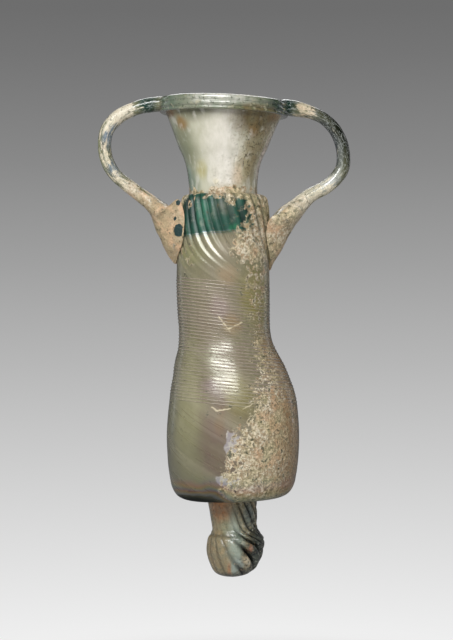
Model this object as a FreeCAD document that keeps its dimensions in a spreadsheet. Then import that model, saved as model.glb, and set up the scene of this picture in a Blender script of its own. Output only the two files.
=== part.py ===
import FreeCAD, Part
import bisect
import math
import os

# Glass amphoriskos: a funnel-mouthed bottle with a ribbed collar, a waisted body and a knobbed toe.
# Lengths are in millimetres. +Z is up, +X is to the right of the front view, which looks along +Y.
# The origin is the lowest point of the toe. The neck leans to the left of the toe's axis.

# Driving sizes: name, value, what it is. Angles are in degrees.
DRIVING_SIZES = (
    ("overrun", 1.5, "how far a cutting solid runs past what it cuts"),
    ("seat_gap", 0.06, "gap left between two bits of glass that are fused on the real object"),
    ("toe_height", 27.5, "tip of the toe to the underside of the body"),
    ("body_height", 108.7, "underside of the body to the ledge on top of the collar"),
    ("hip_radius", 23.7, "body wall at its widest"),
    ("shoulder_radius", 16.6, "body wall above the waist"),
    ("collar_radius", 16.2, "collar at the crest of its ribs"),
    ("ledge_radius", 13.9, "outer edge of the flat ledge on top of the collar"),
    ("sheath_wall", 1.1, "second gather of glass"),
    ("lining_wall", 1.0, "first gather of glass"),
    ("neck_lean", 3.4, "how far the neck's axis stands to the left of the toe's axis"),
    ("base_tilt", 1.6, "slope of the underside of the body, lower on the left"),
    ("rib_depth", 0.75, "depth of the valleys between the collar's ribs"),
    ("neck_radius", 12.15, "outside of the neck where it leaves the collar"),
    ("bore_radius", 11.0, "straight hole through the neck"),
    ("neck_height", 9.5, "neck from the ledge to where the funnel starts"),
    ("funnel_height", 19.6, "start of the funnel to the underside of the rim band"),
    ("lip_radius", 20.8, "outside of the funnel's lip, under the rim band"),
    ("rim_width", 2.8, "rim band from the lip out to the crest of its upper bead"),
    ("rim_height", 4.7, "rim band from its underside to its top"),
    ("rim_tilt", 2.3, "slope of the rim, higher on the left"),
    ("groove_depth", 0.55, "grooves round the rim band"),
    ("left_bow", 26.2, "left handle's rod beyond the line from the collar to the rim"),
    ("right_bow", 26.9, "right handle's rod beyond the line from the collar to the rim"),
    ("left_rod", 5.1, "thickness of the left handle's rod"),
    ("right_rod", 4.6, "thickness of the right handle's rod"),
    ("left_pad_drop", 24.6, "ledge to the tip of the left handle's pad"),
    ("right_pad_drop", 26.8, "ledge to the tip of the right handle's pad"),
    ("left_pad_half_width", 10.0, "half of the left pad, measured across the side of the collar"),
    ("right_pad_half_width", 9.0, "half of the right pad, measured across the side of the collar"),
    ("knob_radius", 10.5, "toe's knob at the crest of its ribs"),
    ("knob_rib_depth", 0.7, "depth of the valleys between the toe's ribs"),
    ("knob_slant", 32, "slant of the toe's ribs from upright"),
    ("trail_height", 43.0, "band of the body that the thread is wound on"),
    ("trail_drop", 29.8, "ledge to the start of the thread"),
    ("trail_thickness", 0.5, "how far the thread stands out of the wall"),
    ("trail_tilt", 6.0, "slope of the thread's turns, lower on the right"),
)
# Counts: ribs round the collar and the toe, turns of the thread, sides of its section, biarcs in
# a turn, and points on the side lines of the body that it follows.
COLLAR_RIBS = 28
KNOB_RIBS = 20
TRAIL_LOOPS = 24
TRAIL_SIDES = 6
TRAIL_STEPS = 4
TRAIL_SAMPLES = 300
# Widest step between two sections of a ribbed wall, as a share of a rib.
RIB_STEP_SHARE = 0.4
# How far to each side of a point the thread's direction is taken, as a share of a biarc.
NUDGE_SHARE = 0.01

# Outline of the body from its underside up: height as a share of body_height, the size that the
# radius follows, its share of that size, the share of neck_lean, and which way the wall faces there
# (0 is outwards, 90 is straight down).
BODY_SHARES = (
    (0.000, "hip_radius", 0.590, 0.00, 90),
    (0.004, "hip_radius", 0.743, 0.00, 76),
    (0.013, "hip_radius", 0.831, 0.00, 52),
    (0.032, "hip_radius", 0.895, 0.00, 30),
    (0.056, "hip_radius", 0.937, 0.00, 18),
    (0.097, "hip_radius", 0.970, 0.00, 6),
    (0.194, "hip_radius", 1.000, 0.00, 0),
    (0.265, "hip_radius", 0.987, 0.00, 0),
    (0.319, "hip_radius", 0.962, 0.02, 0),
    (0.375, "hip_radius", 0.911, 0.10, 0),
    (0.421, "hip_radius", 0.855, 0.27, 0),
    (0.467, "hip_radius", 0.785, 0.52, 0),
    (0.520, "shoulder_radius", 1.004, 0.77, 0),
    (0.580, "shoulder_radius", 0.985, 0.91, 0),
    (0.620, "shoulder_radius", 0.992, 0.95, 0),
    (0.660, "shoulder_radius", 0.998, 0.98, 0),
    (0.702, "shoulder_radius", 1.000, 1.00, 0),
)
# Height share at which the slope of the underside has died out, and the rows of the body's outline
# that the space of the collar and shoulder starts with.
LEVEL_SHARE = 0.194
SHOULDER_ROWS = BODY_SHARES[-4:]
# Outline of the ribbed part above: height share, size, radius share, rib depth share, slant of the
# ribs below this height in degrees from upright.
RIBBED_SHARES = (
    (0.745, "shoulder_radius", 1.000, 0.00, 0),
    (0.780, "shoulder_radius", 1.000, 0.25, 40),
    (0.815, "shoulder_radius", 0.995, 0.50, 40),
    (0.850, "collar_radius", 1.005, 0.75, 36),
    (0.890, "collar_radius", 1.000, 1.00, 26),
    (0.935, "collar_radius", 0.985, 1.00, 15),
    (0.968, "collar_radius", 0.965, 1.00, 15),
    (0.990, "collar_radius", 0.925, 0.80, 15),
    (1.000, "ledge_radius", 1.000, 0.40, 15),
)
LINING_ROWS = RIBBED_SHARES[:6]
# Turn of the lining and of its hollow under the ledge: size, its share, and how far under the ledge
# as a share of sheath_wall.
LINING_TURN_SHARES = (
    ("ledge_radius", 0.97, 2.2),
    ("neck_radius", 1.03, 1.0),
)
CAVITY_TURN_SHARES = (
    ("bore_radius", 1.06, 1.2),
    ("bore_radius", 0.80, -1.0),
)
# Where the neck swells and where the funnel's hollow starts inside it: radius share, height share.
NECK_SWELL_SHARES = (1.02, 0.6)
MOUTH_START_SHARES = (0.8, 0.7)
# Outline of the funnel: height as a share of funnel_height, and how far the wall has opened from
# the neck to the lip.
FUNNEL_SHARES = (
    (0.00, 0.08),
    (0.25, 0.30),
    (0.48, 0.56),
    (0.70, 0.76),
    (0.87, 0.92),
)
# Beads of the rim band: lower and upper edge as shares of rim_height, and how far the crest stands
# back from the widest as a share of groove_depth.
BEAD_SHARES = (
    (0.00, 0.20, 0.9),
    (0.20, 0.55, 0.1),
    (0.55, 1.00, 0.0),
)
# Space of the rim band that the handles end at: its foot and its top as shares of rim_height.
RIM_SPACE_SHARES = (-2, 3)
# Outline of the toe from its tip: height as a share of toe_height, radius as a share of
# knob_radius, rib depth share, and its small lean to the right as a share of knob_radius.
TOE_SHARES = (
    (0.000, 0.250, 0.00, 0.00),
    (0.022, 0.480, 0.20, 0.02),
    (0.070, 0.690, 0.50, 0.04),
    (0.140, 0.805, 0.75, 0.05),
    (0.225, 0.890, 0.90, 0.06),
    (0.340, 0.980, 1.00, 0.08),
    (0.455, 1.000, 1.00, 0.10),
    (0.525, 0.945, 1.00, 0.10),
    (0.585, 0.815, 0.90, 0.09),
    (0.650, 0.785, 0.80, 0.06),
    (0.780, 0.800, 0.80, 0.04),
    (0.900, 0.820, 0.80, 0.00),
    (1.000, 0.840, 0.80, 0.00),
)
# Course of each handle from the tip of its pad to the rim: share of the bow, share of the way from
# the collar's radius to the rim's, share of the rise from the pad's tip to the middle of the rim
# band, how far its section follows the pad's half width rather than the rod's, half of its thickness
# and half of its width as shares of that, and the way it runs, in degrees from upright, outwards
# positive.
LEFT_HANDLE_SHARES = (
    (0.020, 0.0, 0.000, 1.00, 0.07, 0.17, 6),
    (-0.062, 0.0, 0.080, 1.00, 0.62, 0.72, 8),
    (-0.082, 0.0, 0.180, 1.00, 0.94, 1.00, 14),
    (0.061, 0.0, 0.305, 1.00, 0.78, 0.86, 34),
    (0.375, 0.0, 0.398, 0.15, 0.96, 1.20, 50),
    (0.590, 0.0, 0.470, 0.00, 1.04, 1.13, 52),
    (0.815, 0.0, 0.550, 0.00, 1.00, 1.05, 44),
    (0.950, 0.0, 0.640, 0.00, 1.00, 1.05, 22),
    (1.000, 0.0, 0.745, 0.00, 0.99, 1.05, 2),
    (0.970, 0.0, 0.850, 0.00, 1.04, 1.08, -24),
    (0.830, 0.1, 0.922, 0.00, 1.07, 1.11, -50),
    (0.560, 0.3, 0.978, 0.00, 1.03, 1.13, -68),
    (0.250, 0.6, 1.008, 0.00, 1.05, 1.17, -80),
    (0.000, 0.8, 1.018, 0.00, 1.06, 1.24, -88),
)
RIGHT_HANDLE_SHARES = (
    (0.015, 0.0, 0.000, 1.00, 0.06, 0.15, 12),
    (-0.019, 0.0, 0.070, 1.00, 0.36, 0.46, 13),
    (-0.059, 0.0, 0.156, 1.00, 0.79, 0.85, 14),
    (-0.022, 0.0, 0.245, 1.00, 0.95, 1.00, 18),
    (0.156, 0.0, 0.325, 1.00, 0.78, 0.84, 38),
    (0.400, 0.0, 0.398, 0.10, 0.90, 1.12, 50),
    (0.572, 0.0, 0.460, 0.00, 1.00, 1.14, 57),
    (0.773, 0.0, 0.515, 0.00, 0.98, 1.10, 53),
    (0.915, 0.0, 0.572, 0.00, 1.03, 1.11, 37),
    (0.990, 0.0, 0.650, 0.00, 0.98, 1.10, 12),
    (0.985, 0.0, 0.748, 0.00, 1.01, 1.10, -12),
    (0.874, 0.0, 0.862, 0.00, 0.90, 1.07, -35),
    (0.705, 0.1, 0.928, 0.00, 0.86, 1.03, -55),
    (0.420, 0.4, 0.970, 0.00, 0.94, 1.07, -70),
    (0.220, 0.6, 0.986, 0.00, 1.06, 1.14, -79),
    (0.000, 0.8, 0.995, 0.00, 1.12, 1.25, -85),
)

doc = FreeCAD.newDocument("Amphoriskos")
sheet = doc.addObject("Spreadsheet::Sheet", "Sizes")
for row, (alias, value, meaning) in enumerate(DRIVING_SIZES, start=1):
    sheet.set("A%d" % row, meaning)
    sheet.set("B%d" % row, str(value))
    sheet.setAlias("B%d" % row, alias)
doc.recompute()


def size(name):
    """One driving size, read from the sheet."""
    return float(getattr(sheet, name))


def placed(leftward, height, turns="rotationx(0)"):
    """Placement expression: this far left of the toe's axis, this high, turned like this."""
    return "placement(vector(-1 * (%s); 0; %s); %s)" % (leftward, height, turns)


def ring(name, radius, leftward, height, tilt="0"):
    """A circle bound to the sheet: one section of a smooth wall."""
    circle = doc.addObject("Part::Circle", name)
    circle.setExpression("Radius", radius)
    circle.setExpression("Placement", placed(leftward, height, "rotationy(%s)" % tilt))
    return circle


def ribbed_section(name, ribs, row):
    """A closed row of arcs, one for each rib, crests at the radius and valleys depth inside it.

    The row is (height, radius, depth, turn in degrees, centre's x, tilt in degrees).
    """
    height, radius, depth, turn, centre, tilt = row
    edges = []
    for rib in range(ribs):
        corners = []
        for part_share, reach in ((0.0, radius - depth), (0.5, radius), (1.0, radius - depth)):
            angle = 2 * math.pi * (rib + part_share) / ribs
            corners.append(FreeCAD.Vector(reach * math.cos(angle), reach * math.sin(angle), 0))
        edges.append(Part.Arc(*corners).toShape())
    section = doc.addObject("Part::Feature", name)
    section.Shape = Part.Wire(edges)
    upright = FreeCAD.Rotation(FreeCAD.Vector(0, 1, 0), tilt)
    section.Placement = FreeCAD.Placement(
        FreeCAD.Vector(centre, 0, height), upright * FreeCAD.Rotation(FreeCAD.Vector(0, 0, 1), turn)
    )
    return section


def loft(name, sections, ruled=False):
    """A closed solid drawn through its sections, smoothly or straight from each to the next."""
    solid = doc.addObject("Part::Loft", name)
    solid.Sections = sections
    solid.Solid = True
    solid.Ruled = ruled
    return solid


def cut(name, base, *tools):
    """The base less each tool in turn, under the name that the result goes by."""
    for number, tool in enumerate(tools, start=1):
        result = doc.addObject("Part::Cut", name if number == len(tools) else "%s_%d" % (name, number))
        result.Base = base
        result.Tool = tool
        base = result
    return base


LEAN = "Sizes.neck_lean"
LEDGE = "Sizes.toe_height + Sizes.body_height"
RIM_FOOT = LEDGE + " + Sizes.neck_height + Sizes.funnel_height"


def tilt_share(height_share):
    """How much of the underside's slope a section at this height share of the body still has."""
    return max(0, 1 - height_share / LEVEL_SHARE)


def body_ring(name, row, inset):
    """A section of the body's wall, moved inwards by an expression square to the wall."""
    height_share, follows, radius_share, lean_share, facing = row
    inward = math.cos(math.radians(facing))
    upward = math.sin(math.radians(facing))
    radius = "Sizes.%s * %g - (%s) * %g" % (follows, radius_share, inset, inward)
    height = "Sizes.toe_height + Sizes.body_height * %g + (%s) * %g" % (height_share, inset, upward)
    tilt = "-1 * Sizes.base_tilt * %g" % tilt_share(height_share)
    return ring(name, radius, LEAN + " * %g" % lean_share, height, tilt)


def upper_rings(name, inset):
    """Sections of the wall above the body, moved inwards by an expression, up to below the ledge."""
    rings = []
    for number, (height_share, follows, radius_share, _, _) in enumerate(LINING_ROWS):
        radius = "Sizes.%s * %g - (%s)" % (follows, radius_share, inset)
        height = "Sizes.toe_height + Sizes.body_height * %g" % height_share
        rings.append(ring("%s_upper_%d" % (name, number), radius, LEAN, height))
    return rings


def wall_rings(name, inset):
    """All sections of a wall inside the body's own, from the base to below the ledge."""
    rings = []
    for number, row in enumerate(BODY_SHARES):
        rings.append(body_ring("%s_body_%d" % (name, number), row, inset))
    return rings + upper_rings(name, inset)


def sheath_outside():
    """Outside of the second gather: plain body, then ribs that slant, swing and end at the ledge."""
    rings = [body_ring("plain_%d" % number, row, "0") for number, row in enumerate(BODY_SHARES)]
    foot_share, follows, radius_share, _, _ = RIBBED_SHARES[0]
    foot = "Sizes.toe_height + Sizes.body_height * %g" % foot_share
    rings.append(ring("plain_top", "Sizes.%s * %g" % (follows, radius_share), LEAN, foot))
    rows = []
    turn = 0
    below_share = foot_share
    for height_share, follows, radius_share, depth_share, slant in RIBBED_SHARES:
        climb = (height_share - below_share) * size("body_height")
        turn -= math.degrees(climb * math.tan(math.radians(slant)) / size("shoulder_radius"))
        height = size("toe_height") + size("body_height") * height_share
        depth = size("rib_depth") * depth_share
        rows.append((height, size(follows) * radius_share, depth, turn, -size("neck_lean"), 0))
        below_share = height_share
    wall = doc.addObject("Part::Fuse", "sheath_outside")
    wall.Base = loft("plain_wall", rings)
    wall.Tool = loft("ribbed_wall", ribbed_steps("collar", COLLAR_RIBS, rows), ruled=True)
    return wall


def turn_rings(name, shares, gap):
    """Sections where a wall turns in under the ledge, wider by an expression."""
    rings = []
    for number, (follows, radius_share, under_share) in enumerate(shares):
        radius = "Sizes.%s * %g + (%s)" % (follows, radius_share, gap)
        height = LEDGE + " - Sizes.sheath_wall * %g" % under_share
        rings.append(ring("%s_turn_%d" % (name, number), radius, LEAN, height))
    return rings


def neck_ring(name, follows, shares, gap):
    """A section of the neck: a share of a radius and a gap, at a share of the neck's height."""
    radius_share, height_share = shares
    height = LEDGE + " + Sizes.neck_height * %g" % height_share
    return ring(name, "Sizes.%s * %g + (%s)" % (follows, radius_share, gap), LEAN, height)


def lining_outside(name, gap):
    """The first gather's outside from its base to its lip, wider all over by an expression."""
    rings = wall_rings(name, "Sizes.sheath_wall + Sizes.seat_gap - (%s)" % gap)
    rings += turn_rings(name, LINING_TURN_SHARES, gap)
    neck_foot = "Sizes.neck_radius + (%s)" % gap
    rings.append(ring(name + "_neck_foot", neck_foot, LEAN, LEDGE))
    rings.append(neck_ring(name + "_neck", "neck_radius", NECK_SWELL_SHARES, gap))
    rings += funnel_rings(name, "-1 * (%s)" % gap, neck_foot)
    rings += lip_rings(name, "-1 * (%s)" % gap, "Sizes.rim_height")
    return loft(name, rings)


def funnel_rings(name, inset, foot_radius):
    """Sections of the funnel and its lip, which tilt more and more with the rim."""
    rings = []
    mouth_radius = "Sizes.lip_radius - (%s)" % inset
    for number, (height_share, opening_share) in enumerate(FUNNEL_SHARES):
        radius = "(%s) * %g + (%s) * %g" % (foot_radius, 1 - opening_share, mouth_radius, opening_share)
        height = LEDGE + " + Sizes.neck_height + Sizes.funnel_height * %g" % height_share
        tilt = "Sizes.rim_tilt * %g" % height_share
        rings.append(ring("%s_funnel_%d" % (name, number), radius, LEAN, height, tilt))
    return rings


def lip_rings(name, inset, rise):
    """The straight lip, square to the tilted rim: its foot, and its top at an expression above."""
    mouth_radius = "Sizes.lip_radius - (%s)" % inset
    foot = ring(name + "_lip_foot", mouth_radius, LEAN, RIM_FOOT, "Sizes.rim_tilt")
    top = ring(name + "_lip_top", mouth_radius, LEAN, RIM_FOOT, "Sizes.rim_tilt")
    top.setExpression(
        "Placement",
        placed(
            "%s - (%s) * sin(Sizes.rim_tilt)" % (LEAN, rise),
            "%s + (%s) * cos(Sizes.rim_tilt)" % (RIM_FOOT, rise),
            "rotationy(Sizes.rim_tilt)",
        ),
    )
    return [foot, top]


def build_sheath():
    """Second gather: ribbed and plain wall outside, the first gather's shape with a gap inside."""
    return cut("ribbed_sheath", sheath_outside(), lining_outside("sheath_hollow", "Sizes.seat_gap"))


def build_flask():
    """First gather: lining, neck and funnel, hollow all the way, with a straight hole in the neck."""
    cavity = wall_rings("cavity", "Sizes.sheath_wall + Sizes.seat_gap + Sizes.lining_wall")
    cavity += turn_rings("cavity", CAVITY_TURN_SHARES, "0")
    bore = doc.addObject("Part::Cylinder", "neck_bore")
    bore.setExpression("Radius", "Sizes.bore_radius")
    bore.setExpression("Height", "Sizes.neck_height + Sizes.sheath_wall + Sizes.overrun")
    bore.setExpression("Placement", placed(LEAN, LEDGE + " - Sizes.sheath_wall"))
    mouth = [neck_ring("mouth_start", "bore_radius", MOUTH_START_SHARES, "0")]
    mouth += funnel_rings("mouth", "Sizes.lining_wall", "Sizes.bore_radius")
    mouth += lip_rings("mouth", "Sizes.lining_wall", "Sizes.rim_height + Sizes.overrun")
    solid = lining_outside("lining", "0")
    return cut("inner_flask", solid, loft("cavity", cavity), bore, loft("mouth", mouth))


def origin_plane(body, role):
    """One of a body's own origin planes."""
    for feature in body.Origin.OriginFeatures:
        if feature.Role == role:
            return feature


def build_rim():
    """Band round the lip: two round beads with a groove between them and a thin bead below."""
    body = doc.addObject("PartDesign::Body", "rim_band")
    sketch = body.newObject("Sketcher::SketchObject", "rim_profile")
    sketch.AttachmentSupport = (origin_plane(body, "XZ_Plane"), "")
    sketch.MapMode = "FlatFace"
    inner = size("lip_radius") + size("seat_gap")
    crest = size("lip_radius") + size("rim_width")
    deep = size("groove_depth")
    tall = size("rim_height")
    under = FreeCAD.Vector(inner, 0, 0)
    start = FreeCAD.Vector(crest - deep - deep, 0, 0)
    outline = [Part.LineSegment(under, start)]
    for low_share, high_share, back_share in BEAD_SHARES:
        middle_share = (low_share + high_share) / 2
        bulge = FreeCAD.Vector(crest - deep * back_share, tall * middle_share, 0)
        last = high_share == 1.0
        end = FreeCAD.Vector(crest - deep - deep * last, tall * high_share, 0)
        outline.append(Part.Arc(start, bulge, end))
        start = end
    over = FreeCAD.Vector(inner, tall, 0)
    outline.append(Part.LineSegment(start, over))
    outline.append(Part.LineSegment(over, under))
    sketch.addGeometry(outline, False)
    revolution = body.newObject("PartDesign::Revolution", "rim_turn")
    revolution.Profile = sketch
    revolution.ReferenceAxis = (sketch, ["V_Axis"])
    revolution.Angle = 360
    body.setExpression("Placement", placed(LEAN, RIM_FOOT, "rotationy(Sizes.rim_tilt)"))
    return body


def collar_envelope():
    """Space that the collar and shoulder fill, with the seat's gap, to cut the handles' pads."""
    rings = []
    rows = SHOULDER_ROWS + RIBBED_SHARES
    for number, (height_share, follows, radius_share, _, _) in enumerate(rows):
        radius = "Sizes.%s * %g + Sizes.seat_gap" % (follows, radius_share)
        height = "Sizes.toe_height + Sizes.body_height * %g" % height_share
        if height_share == 1.0:
            height += " + Sizes.seat_gap"
        rings.append(ring("collar_space_%d" % number, radius, LEAN, height))
    return loft("collar_space", rings)


def rim_envelope():
    """Space inside the rim band's outer face, with the seat's gap, to cut the handles' ends."""
    low_share, high_share = RIM_SPACE_SHARES
    space = doc.addObject("Part::Cylinder", "rim_space")
    space.setExpression("Radius", "Sizes.lip_radius + Sizes.rim_width + Sizes.seat_gap")
    space.setExpression("Height", "Sizes.rim_height * %g" % (high_share - low_share))
    height = RIM_FOOT + " + Sizes.rim_height * %g" % low_share
    space.setExpression("Placement", placed(LEAN, height, "rotationy(Sizes.rim_tilt)"))
    return space


def build_handle(side, shares, sign, collar_space, rim_space):
    """A pad down the collar, a rod round in a loop and an end flush with the rim band."""
    sections = []
    foot = "%s - Sizes.%s_pad_drop" % (LEDGE, side)
    rise = "(%s + Sizes.rim_height / 2 - (%s))" % (RIM_FOOT, foot)
    ends_apart = "(Sizes.lip_radius + Sizes.rim_width - Sizes.collar_radius)"
    for number, row in enumerate(shares):
        bow_share, seat_share, rise_share, pad_share, thick_share, wide_share, course = row
        reach = "Sizes.collar_radius + %s * %g" % (ends_apart, seat_share)
        reach += " + Sizes.%s_bow * %g" % (side, bow_share)
        section = doc.addObject("Part::Ellipse", "%s_section_%d" % (side, number))
        half = "(Sizes.%s_rod / 2 * %g + Sizes.%s_pad_half_width * %g)"
        half %= (side, 1 - pad_share, side, pad_share)
        section.setExpression("MajorRadius", "%s * %g" % (half, wide_share))
        section.setExpression("MinorRadius", "%s * %g" % (half, thick_share))
        # The long way across the ellipse lies along Y, its short way in the handle's own plane.
        turns = "rotationy(%g) * rotationz(90)" % (-sign * course)
        leftward = "%s + %d * (%s)" % (LEAN, sign, reach)
        height = "%s + %s * %g" % (foot, rise, rise_share)
        section.setExpression("Placement", placed(leftward, height, turns))
        sections.append(section)
    return cut(side + "_handle", loft(side + "_bit", sections), collar_space, rim_space)


def ribbed_steps(name, ribs, rows):
    """Sections between rows of ribs, close enough that each rib runs on into the next section.

    A row is (height, radius, valley depth, turn in degrees, centre's x, tilt).
    """
    sections = []
    most_turn = RIB_STEP_SHARE * 360 / ribs
    low = rows[0]
    sections.append(ribbed_section(name + "_0", ribs, low))
    for number, high in enumerate(rows[1:], start=1):
        steps = max(1, math.ceil(abs(high[3] - low[3]) / most_turn))
        for step in range(1, steps + 1):
            between = [a + (b - a) * step / steps for a, b in zip(low, high)]
            sections.append(ribbed_section("%s_%d_%d" % (name, number, step), ribs, between))
        low = high
    return sections


def build_toe():
    """Solid stem and knob, whose ribs slant round them from upper left to lower right."""
    rows = []
    tall = size("toe_height") - size("seat_gap")
    widest = size("knob_radius")
    for height_share, radius_share, depth_share, lean_share in TOE_SHARES:
        height = tall * height_share
        turn = -math.degrees(height * math.tan(math.radians(size("knob_slant"))) / widest)
        tilt = -size("base_tilt") * (height_share == 1.0)
        depth = size("knob_rib_depth") * depth_share
        rows.append((height, widest * radius_share, depth, turn, widest * lean_share, tilt))
    return loft("toe_knob", ribbed_steps("toe", KNOB_RIBS, rows), ruled=True)


def side_lines(wall):
    """The right and left edges of the plain wall, each as points (height, x) from the base up."""
    side = max(wall.Faces, key=lambda face: face.Area)
    start, end, _, _ = side.ParameterRange
    lines = []
    for way_round in (start, (start + end) / 2):
        points = side.Surface.uIso(way_round).discretize(TRAIL_SAMPLES)
        lines.append(sorted((point.z, point.x) for point in points))
    return sorted(lines, key=lambda line: -line[0][1])


def across(line, height):
    """The x of a side line at a height, between its two nearest points."""
    above = min(max(bisect.bisect(line, (height, 0)), 1), len(line) - 1)
    low, high = line[above - 1], line[above]
    return low[1] + (high[1] - low[1]) * (height - low[0]) / (high[0] - low[0])


def trail_point(lines, turns):
    """Middle of the thread after so many turns: a tilted helix on the outside of the wall."""
    angle = 2 * math.pi * turns
    height = size("toe_height") + size("body_height") - size("trail_drop")
    height -= size("trail_height") * turns / TRAIL_LOOPS
    height -= math.tan(math.radians(size("trail_tilt"))) * size("shoulder_radius") * math.cos(angle)
    right, left = (across(line, height) for line in lines)
    centre = (right + left) / 2
    reach = (right - left) / 2 + size("seat_gap") + size("trail_thickness") / 2
    return FreeCAD.Vector(centre + reach * math.cos(angle), reach * math.sin(angle), height)


def biarc(start, start_way, end, end_way):
    """Two arcs that leave start and reach end in the given directions, tangent where they meet."""
    apart = end - start
    together = start_way + end_way
    spread = 2 * (1 - start_way.dot(end_way))
    along = apart.dot(together)
    reach = (math.sqrt(along ** 2 + spread * apart.dot(apart)) - along) / spread
    first = start + start_way * reach
    second = end - end_way * reach
    meet = (first + second) * 0.5
    return [arc_through(start, first, meet), arc_through(meet, second, end)]


def arc_through(start, corner, end):
    """The arc that touches both equal legs of a corner, from start to end."""
    chord_middle = (start + end) * 0.5
    height = (corner - chord_middle).Length
    half = (end - start).Length / 2
    leg = (corner - start).Length
    rise = half * (leg - half) / height
    middle = chord_middle + (corner - chord_middle) * (rise / height)
    return Part.Arc(start, middle, end).toShape()


def many_sided(middle, way, radius):
    """The thread's section at a place, square to a direction, with its corners at a radius."""
    side = way.cross(FreeCAD.Vector(0, 0, 1)).normalize()
    over = side.cross(way)
    corners = []
    for corner in range(TRAIL_SIDES + 1):
        angle = 2 * math.pi * (corner % TRAIL_SIDES) / TRAIL_SIDES
        corners.append(middle + side * (radius * math.cos(angle)) + over * (radius * math.sin(angle)))
    return Part.makePolygon(corners)


def build_trail(wall):
    """One thread wound round the upper body, swept along arcs of a quarter turn's biarcs."""
    lines = side_lines(wall)
    step = 1 / TRAIL_STEPS
    nudge = step * NUDGE_SHARE
    arcs = []
    knots = [number * step for number in range(TRAIL_LOOPS * TRAIL_STEPS + 1)]
    ways = []
    for turns in knots:
        way = trail_point(lines, turns + nudge) - trail_point(lines, turns - nudge)
        ways.append(way.normalize())
    places = [trail_point(lines, turns) for turns in knots]
    for number in range(len(knots) - 1):
        arcs += biarc(places[number], ways[number], places[number + 1], ways[number + 1])
    path = Part.Wire(arcs)
    section = many_sided(places[0], ways[0], size("trail_thickness") / 2)
    trail = doc.addObject("Part::Feature", "thread_trail")
    trail.Shape = path.makePipeShell([section], True, False)
    turn_gap = min(
        (trail_point(lines, turns) - trail_point(lines, turns + 1)).Length
        for turns in knots[: -TRAIL_STEPS - 1]
    )
    print("thread_trail: least gap to itself %.2f mm" % (turn_gap - size("trail_thickness")))
    return trail


build_sheath()
build_flask()
build_rim()
collar_space = collar_envelope()
rim_space = rim_envelope()
build_handle("left", LEFT_HANDLE_SHARES, 1, collar_space, rim_space)
build_handle("right", RIGHT_HANDLE_SHARES, -1, collar_space, rim_space)
build_toe()
doc.recompute()
build_trail(doc.getObject("plain_wall").Shape)
doc.recompute()

SUB_PARTS = (
    "inner_flask",
    "ribbed_sheath",
    "rim_band",
    "left_handle",
    "right_handle",
    "toe_knob",
    "thread_trail",
)

for item in doc.Objects:
    if {"Invalid", "Error"} & set(item.State):
        raise RuntimeError("%s did not recompute: %s" % (item.Name, item.State))
for name in SUB_PARTS:
    shape = doc.getObject(name).Shape
    if shape.isNull() or not shape.isValid() or len(shape.Solids) != 1:
        raise RuntimeError("%s is not one valid solid" % name)

os.makedirs("parts", exist_ok=True)
for name in SUB_PARTS:
    shape = doc.getObject(name).Shape
    shape.exportStep("parts/%s.step" % name)
    print("%s: volume %.1f mm3, %d faces" % (name, shape.Volume, len(shape.Faces)))
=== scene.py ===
import math

import bpy
import numpy as np
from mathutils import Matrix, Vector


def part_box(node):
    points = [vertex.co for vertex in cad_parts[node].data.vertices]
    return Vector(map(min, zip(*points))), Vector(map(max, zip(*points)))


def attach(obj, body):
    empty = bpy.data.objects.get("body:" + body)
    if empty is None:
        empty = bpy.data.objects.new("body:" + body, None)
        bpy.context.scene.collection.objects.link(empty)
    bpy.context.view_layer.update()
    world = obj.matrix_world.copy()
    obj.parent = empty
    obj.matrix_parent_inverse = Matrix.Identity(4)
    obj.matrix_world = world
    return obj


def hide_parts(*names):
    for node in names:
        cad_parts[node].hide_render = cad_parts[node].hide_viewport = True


bl_info = {
    "name": "Glass amphoriskos",
    "version": (1, 0, 0),
    "blender": (4, 5, 0),
    "location": "3D View > Sidebar > Amphoriskos",
    "description": "Dresses the packed frame of a small ancient glass bottle and lights it",
    "category": "Add Mesh",
}

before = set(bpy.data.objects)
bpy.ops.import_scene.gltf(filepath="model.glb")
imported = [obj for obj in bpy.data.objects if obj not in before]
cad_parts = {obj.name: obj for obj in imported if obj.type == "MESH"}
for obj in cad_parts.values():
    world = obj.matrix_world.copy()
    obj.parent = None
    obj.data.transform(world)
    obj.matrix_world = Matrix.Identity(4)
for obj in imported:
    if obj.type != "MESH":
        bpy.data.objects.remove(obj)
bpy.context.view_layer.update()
MM = 0.001
BODY = "root"

# The frame's own sizes, which the defaults below start from
HIP_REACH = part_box("ribbed_sheath")[1].y
RIM_LOW, RIM_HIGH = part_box("rim_band")
RIM_REACH = (RIM_HIGH.x - RIM_LOW.x) / 2
TOE_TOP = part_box("toe_knob")[1].z


def linear(code):
    """sRGB hex to linear red, green and blue: each channel's transfer curve undone."""
    shares = np.array([int(code[at : at + 2], 16) / 255 for at in (0, 2, 4)])
    low = shares / 12.92
    high = ((shares + 0.055) / 1.055) ** 2.4
    return tuple(float(v) for v in np.where(shares <= 0.04045, low, high))


# Sizes and colours that a user would change


def size_property(name, description, metres):
    """A length that a user can change."""
    return bpy.props.FloatProperty(
        name=name, description=description, default=metres, unit="LENGTH"
    )


def slope_property(name, description, degrees):
    """A slope that a user can change, written here in degrees."""
    return bpy.props.FloatProperty(
        name=name, description=description, default=math.radians(degrees), unit="ROTATION"
    )


def count_property(name, description, number):
    """A number of like things that a user can change."""
    return bpy.props.IntProperty(name=name, description=description, default=number)


def colour_property(name, description, code):
    """A colour that a user can change, written as sRGB hex."""
    return bpy.props.FloatVectorProperty(
        name=name,
        description=description,
        default=linear(code),
        subtype="COLOR",
        size=3,
        min=0.0,
        max=1.0,
    )


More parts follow.
